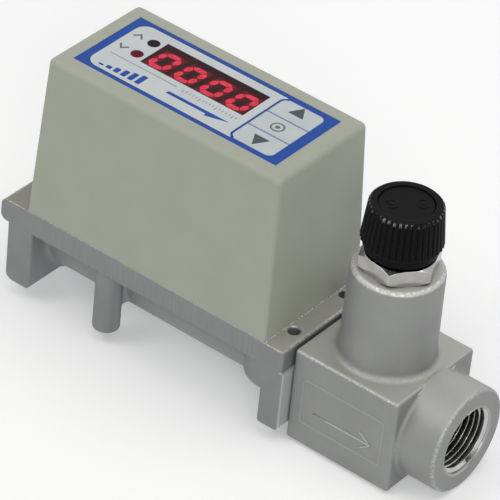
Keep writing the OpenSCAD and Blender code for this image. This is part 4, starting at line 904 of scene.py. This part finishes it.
def raised_line(shell, points, line, closed=False):
    """Adds a rounded ridge that follows points (x, z) on the valve block's front."""
    width, height = line
    count = len(points)
    rings = []
    for k, (x, z) in enumerate(points):
        before = points[(k - 1) % count] if closed or k else points[k]
        after = points[(k + 1) % count] if closed or k < count - 1 else points[k]
        dx, dz = after[0] - before[0], after[1] - before[1]
        length = math.hypot(dx, dz)
        nx, nz = -dz / length, dx / length
        rings.append([shell.verts.new(((x + nx * share * width) * MM, (BLOCK_FRONT - rise * height) * MM,
                                       (z + nz * share * width) * MM)) for share, rise in RIDGE_PROFILE])
    skin(shell, rings, closed)


def make_block_relief(material):
    """Cast frame and flow arrow on the front of the valve block."""
    axis_z = mount_place("outlet_port").z
    shaft_z = axis_z + FLOW_SHAFT_Z
    shell = bmesh.new()
    outline = rounded_loop(FRAME_X[0], axis_z + FRAME_Z[0], FRAME_X[1], axis_z + FRAME_Z[1], FRAME_R, 6)
    raised_line(shell, outline, FRAME_LINE, closed=True)
    raised_line(shell, [(x, shaft_z) for x in FLOW_SHAFT_X], FLOW_LINE)
    raised_line(shell, [(x, shaft_z + rise) for x, rise in FLOW_HEAD], FLOW_LINE)
    mesh = finished_mesh("block_relief", shell)
    place_mesh("block_relief", mesh, material, "root")
    for polygon in mesh.polygons:
        polygon.use_smooth = True


def make_glint_sheet(material):
    """Thin sheet on the plate along the foot of the cover's outlet end, which carries painted glints."""
    cover_low, cover_high = span("housing_cover")
    lip = rounded_loop(cover_high.x + LIP_X[0], cover_low.y + LIP_INSET, cover_high.x + LIP_X[1],
                       cover_high.y - LIP_INSET, 0.1, 3)
    plate_top = span("meter_body")[1].z
    flat_print("glint_sheet", [lip], plate_top, material, thickness=LIP_THICKNESS)


def make_knob_marks(material):
    """Turning arrows round a plus and a minus on the knob's cap."""
    low, high = span("knob_cap")
    centre, r = ((low.x + high.x) / 2, (low.y + high.y) / 2), (high.x - low.x) / 2
    turn = r * TURN_R
    a, t = r * SIGN_ARM, r * SIGN_HALF
    minus = [(-a, -t), (a, -t), (a, t), (-a, t)]
    plus = [(-a, -t), (-t, -t), (-t, -a), (t, -a), (t, -t), (a, -t),
            (a, t), (t, t), (t, a), (-t, a), (-t, t), (-a, t)]
    loops = []
    for side, sign in ((45, plus), (225, minus)):
        middle = around(centre, r * MARK_R, side)
        start = side + TURN_START
        end = start + TURN_SWEEP
        loops.append(arc_points(middle, turn, start, end, 20)
                     + arc_points(middle, turn * TURN_INNER, end, start, 20))
        loops.append([around(middle, turn * share, end + past) for share, past in TURN_HEAD])
        loops.append([(middle[0] + px, middle[1] + py) for px, py in sign])
    flat_print("knob_marks", loops, high.z, material, "knob", KNOB_PRINT)


def make_materials():
    """Every material of the part, by the name that the pieces ask for."""
    plate_high = span("meter_body")[1]
    knob_low, knob_high = span("knob")
    knob_crown = Vector(((knob_low.x + knob_high.x) / 2, 0.0, knob_high.z))
    band = (Vector((BAND_X[0], 0.0, BAND_FOOT)), Vector((BAND_X[1], 0.0, plate_high.z)))
    # Painted light on the block's upward faces.
    block_lit_top = srgb(184, 183, 179)
    # The black polymer's last colour is a light edge colour, partly wear and mostly painted highlight on the
    # knob's ribs.
    black = (srgb(21, 21, 22), 0.45, 0.012, 2.0, 0.055, srgb(126, 130, 136))
    films = {
        "film_blue": INK_BLUE, "film_white": srgb(214, 219, 221), "film_key": srgb(209, 214, 217),
        "film_cream": srgb(222, 222, 198), "ink_grey": srgb(112, 116, 118), "ink_dark": srgb(82, 92, 98),
        "ink_blue": INK_BLUE, "ink_pale_blue": srgb(120, 146, 196), "ink_maroon": srgb(50, 22, 25),
    }
    materials = {name: printed_film(name, colour) for name, colour in films.items()}
    materials.update({
        # The body's top colours are painted light on its upward faces, darker at the inlet end and lighter at
        # the outlet end.
        "cast_body": cast_steel(
            "cast_body", srgb(143, 144, 145), mount_place("inlet_port"), 1,
            (srgb(146, 143, 136), srgb(180, 178, 171)), BODY_CALM_Z, band=band,
            lit_end_corner=Vector((plate_high.x, 0.0, plate_high.z - LIT_FACE_DROP))),
        "cast_block": cast_steel(
            "cast_block", CAST_GREY, mount_place("outlet_port"), -1, (block_lit_top, block_lit_top), BLOCK_CALM_Z,
            boss_x=BOSS_X, crown_z=span("bonnet_nut")[0].z + SHANK_L),
        "relief": cast_marks("cast_relief"),
        "lip": painted_glint_edge("painted_glint_edge"),
        "bright": bright_steel("bright_steel"),
        # The nut's downward faces get painted shade.
        "nut": bright_steel("nut_steel", srgb(174, 172, 168), underside_shade=srgb(30, 28, 24)),
        "thread": bright_steel("thread_steel", srgb(196, 196, 195), turned=False),
        "brass": bright_steel("turned_brass", (0.72, 0.54, 0.24, 1.0)),
        "mesh": woven_wire("woven_wire"),
        "ivory": moulding("ivory_polymer", srgb(222, 216, 200), 0.45),
        "cover": moulding("cover_grey", srgb(180, 183, 169), 0.5),
        "black": moulding("black_polymer", *black),
        "grip": moulding("grip_black", *black, grooves=(knob_crown, KNOB_RIBS)),
        "rubber": moulding("black_rubber", srgb(34, 34, 34), 0.7, 0.02),
        "wire": moulding("wire_grey", srgb(120, 120, 124), 0.5),
        "window": window_acrylic("window_red"),
        "lit": lit_figure("lit_figure"),
        "lamp": lamp_dome("lamp_red", sum(y for _, y in lamp_places()) / 2),
        "board": circuit_board("circuit_board"),
    })
    return materials


def dress_nodes(materials):
    """Gives every CAD node its own material, or else that of its slot."""
    by_slot = {
        "bright_steel": "bright", "steel_mesh": "mesh", "white_polymer": "ivory", "cover_grey": "cover",
        "panel_print": "film_blue", "key_film": "film_key", "window_red": "window", "lamp_red": "lamp",
        "display_black": "black", "black_polymer": "black", "board_green": "board", "brass": "brass",
        "rubber_black": "rubber", "wire_grey": "wire",
    }
    # The lock pins take the material with painted glints, as a painted highlight in their holes.
    by_node = {"meter_body": "cast_body", "valve_block": "cast_block", "lock_pins": "lip",
               "bonnet_nut": "nut", "knob": "grip"}
    for part in frame["record"]["subparts"]:
        node = part["node"]
        material = materials[by_node.get(node) or by_slot[part["material_slot"]]]
        for slot in frame["nodes"][node].material_slots:
            slot.material = material


def seen_directly(nodes, links):
    """1 for rays from the camera, off gloss or through glass, 0 for the light on surfaces."""
    rays = nodes.new("ShaderNodeLightPath")
    total = rays.outputs["Is Camera Ray"]
    for name in ("Is Glossy Ray", "Is Transmission Ray"):
        add = nodes.new("ShaderNodeMath")
        add.operation = "ADD"
        add.use_clamp = True
        links.new(total, add.inputs[0])
        links.new(rays.outputs[name], add.inputs[1])
        total = add.outputs[0]
    return total


def floor_material():
    """Pale floor that shows near white and still takes the shadow."""
    shader = Shader("floor_pale", (0.88, 0.88, 0.88, 1.0), 0.9)
    seen = seen_directly(shader.tree.nodes, shader.tree.links)
    shader.set("Specular IOR Level", 0.1)
    shader.set("Emission Color", WHITE)
    shader.set("Emission Strength", shader.times(seen, FLOOR_GLOW))
    return shader.material


def point_at(thing, direction):
    """Turns an object's Z axis along a direction."""
    thing.rotation_mode = "QUATERNION"
    thing.rotation_quaternion = direction.to_track_quat("Z", "Y")


def make_card(name, direction, distance, width, height, colour):
    """Dark board that only reflections see, so that bright metal has contrast."""
    aim = Vector(direction).normalized()
    bpy.ops.mesh.primitive_plane_add(size=1.0, location=CARD_MIDDLE_METRES + aim * distance)
    board = bpy.context.object
    board.name = name
    board.scale = (width, height, 1.0)
    point_at(board, -aim)
    shader = Shader(name, BLACK, 1.0)
    shader.set("Specular IOR Level", 0.0)
    shader.set("Emission Color", colour)
    shader.set("Emission Strength", 1.0)
    board.data.materials.append(shader.material)
    board.visible_camera = False
    board.visible_diffuse = False
    board.visible_shadow = False


def make_lamp(name, direction, angle, level, colour):
    """Sun lamp that gives a facing white surface this level."""
    lamp = bpy.data.lights.new(name, "SUN")
    lamp.angle = math.radians(angle)
    lamp.energy = level * math.pi
    lamp.color = colour
    holder = bpy.data.objects.new(name, lamp)
    bpy.context.scene.collection.objects.link(holder)
    holder.location = Vector(direction)
    point_at(holder, Vector(direction))


def make_world():
    """Soft grey light on surfaces, plain white for the camera and for reflections."""
    world = bpy.data.worlds.new("studio")
    world.use_nodes = True
    nodes, links = world.node_tree.nodes, world.node_tree.links
    background = nodes["Background"]
    background.inputs["Color"].default_value = WORLD_COLOUR
    background.inputs["Strength"].default_value = WORLD_LEVEL
    plain = nodes.new("ShaderNodeBackground")
    plain.inputs["Color"].default_value = WHITE
    mix = nodes.new("ShaderNodeMixShader")
    links.new(seen_directly(nodes, links), mix.inputs[0])
    links.new(background.outputs[0], mix.inputs[1])
    links.new(plain.outputs[0], mix.inputs[2])
    links.new(mix.outputs[0], nodes["World Output"].inputs["Surface"])
    bpy.context.scene.world = world


def make_stage():
    """Floor, lamps, cards and world."""
    floor_z = CAD_BOX[0].z - FLOOR_DROP_METRES
    bpy.ops.mesh.primitive_plane_add(size=FLOOR_METRES, location=(*FLOOR_MIDDLE_METRES, floor_z))
    floor = bpy.context.object
    floor.name = "floor"
    floor.data.materials.append(floor_material())
    for lamp in LAMPS:
        make_lamp(*lamp)
    for card in CARDS:
        make_card(*card)
    make_world()


def make_camera():
    """Camera at the photograph's viewing angle."""
    azimuth, elevation = math.radians(CAMERA_AZIMUTH), math.radians(CAMERA_ELEVATION)
    back = Vector((math.sin(azimuth) * math.cos(elevation), -math.cos(azimuth) * math.cos(elevation),
                   math.sin(elevation)))
    data = bpy.data.cameras.new("camera")
    data.lens = CAMERA_LENS
    data.sensor_width = SENSOR_WIDTH
    data.clip_start, data.clip_end = CLIP_METRES
    camera = bpy.data.objects.new("camera", data)
    bpy.context.scene.collection.objects.link(camera)
    camera.location = (CAMERA_TARGET + back * CAMERA_DISTANCE) * MM
    level = (-back).to_track_quat("-Z", "Y").to_matrix()
    camera.rotation_mode = "QUATERNION"
    camera.rotation_quaternion = (level @ Matrix.Rotation(math.radians(CAMERA_ROLL), 3, "Z")).to_quaternion()
    bpy.context.scene.camera = camera


bpy.context.scene.view_settings.view_transform = "Standard"
make_camera()
MATERIALS = make_materials()
dress_nodes(MATERIALS)
make_field(MATERIALS)
make_marks(MATERIALS["ink_grey"], MATERIALS["ink_blue"])
make_key_prints(MATERIALS)
make_figures(MATERIALS["lit"])
thread_ridge("inlet_thread", mount_place("inlet_port"), 1, MATERIALS["thread"])
thread_ridge("outlet_thread", mount_place("outlet_port"), -1, MATERIALS["thread"])
make_block_relief(MATERIALS["relief"])
make_glint_sheet(MATERIALS["lip"])
make_knob_marks(MATERIALS["black"])
make_stage()

bpy.context.view_layer.update()
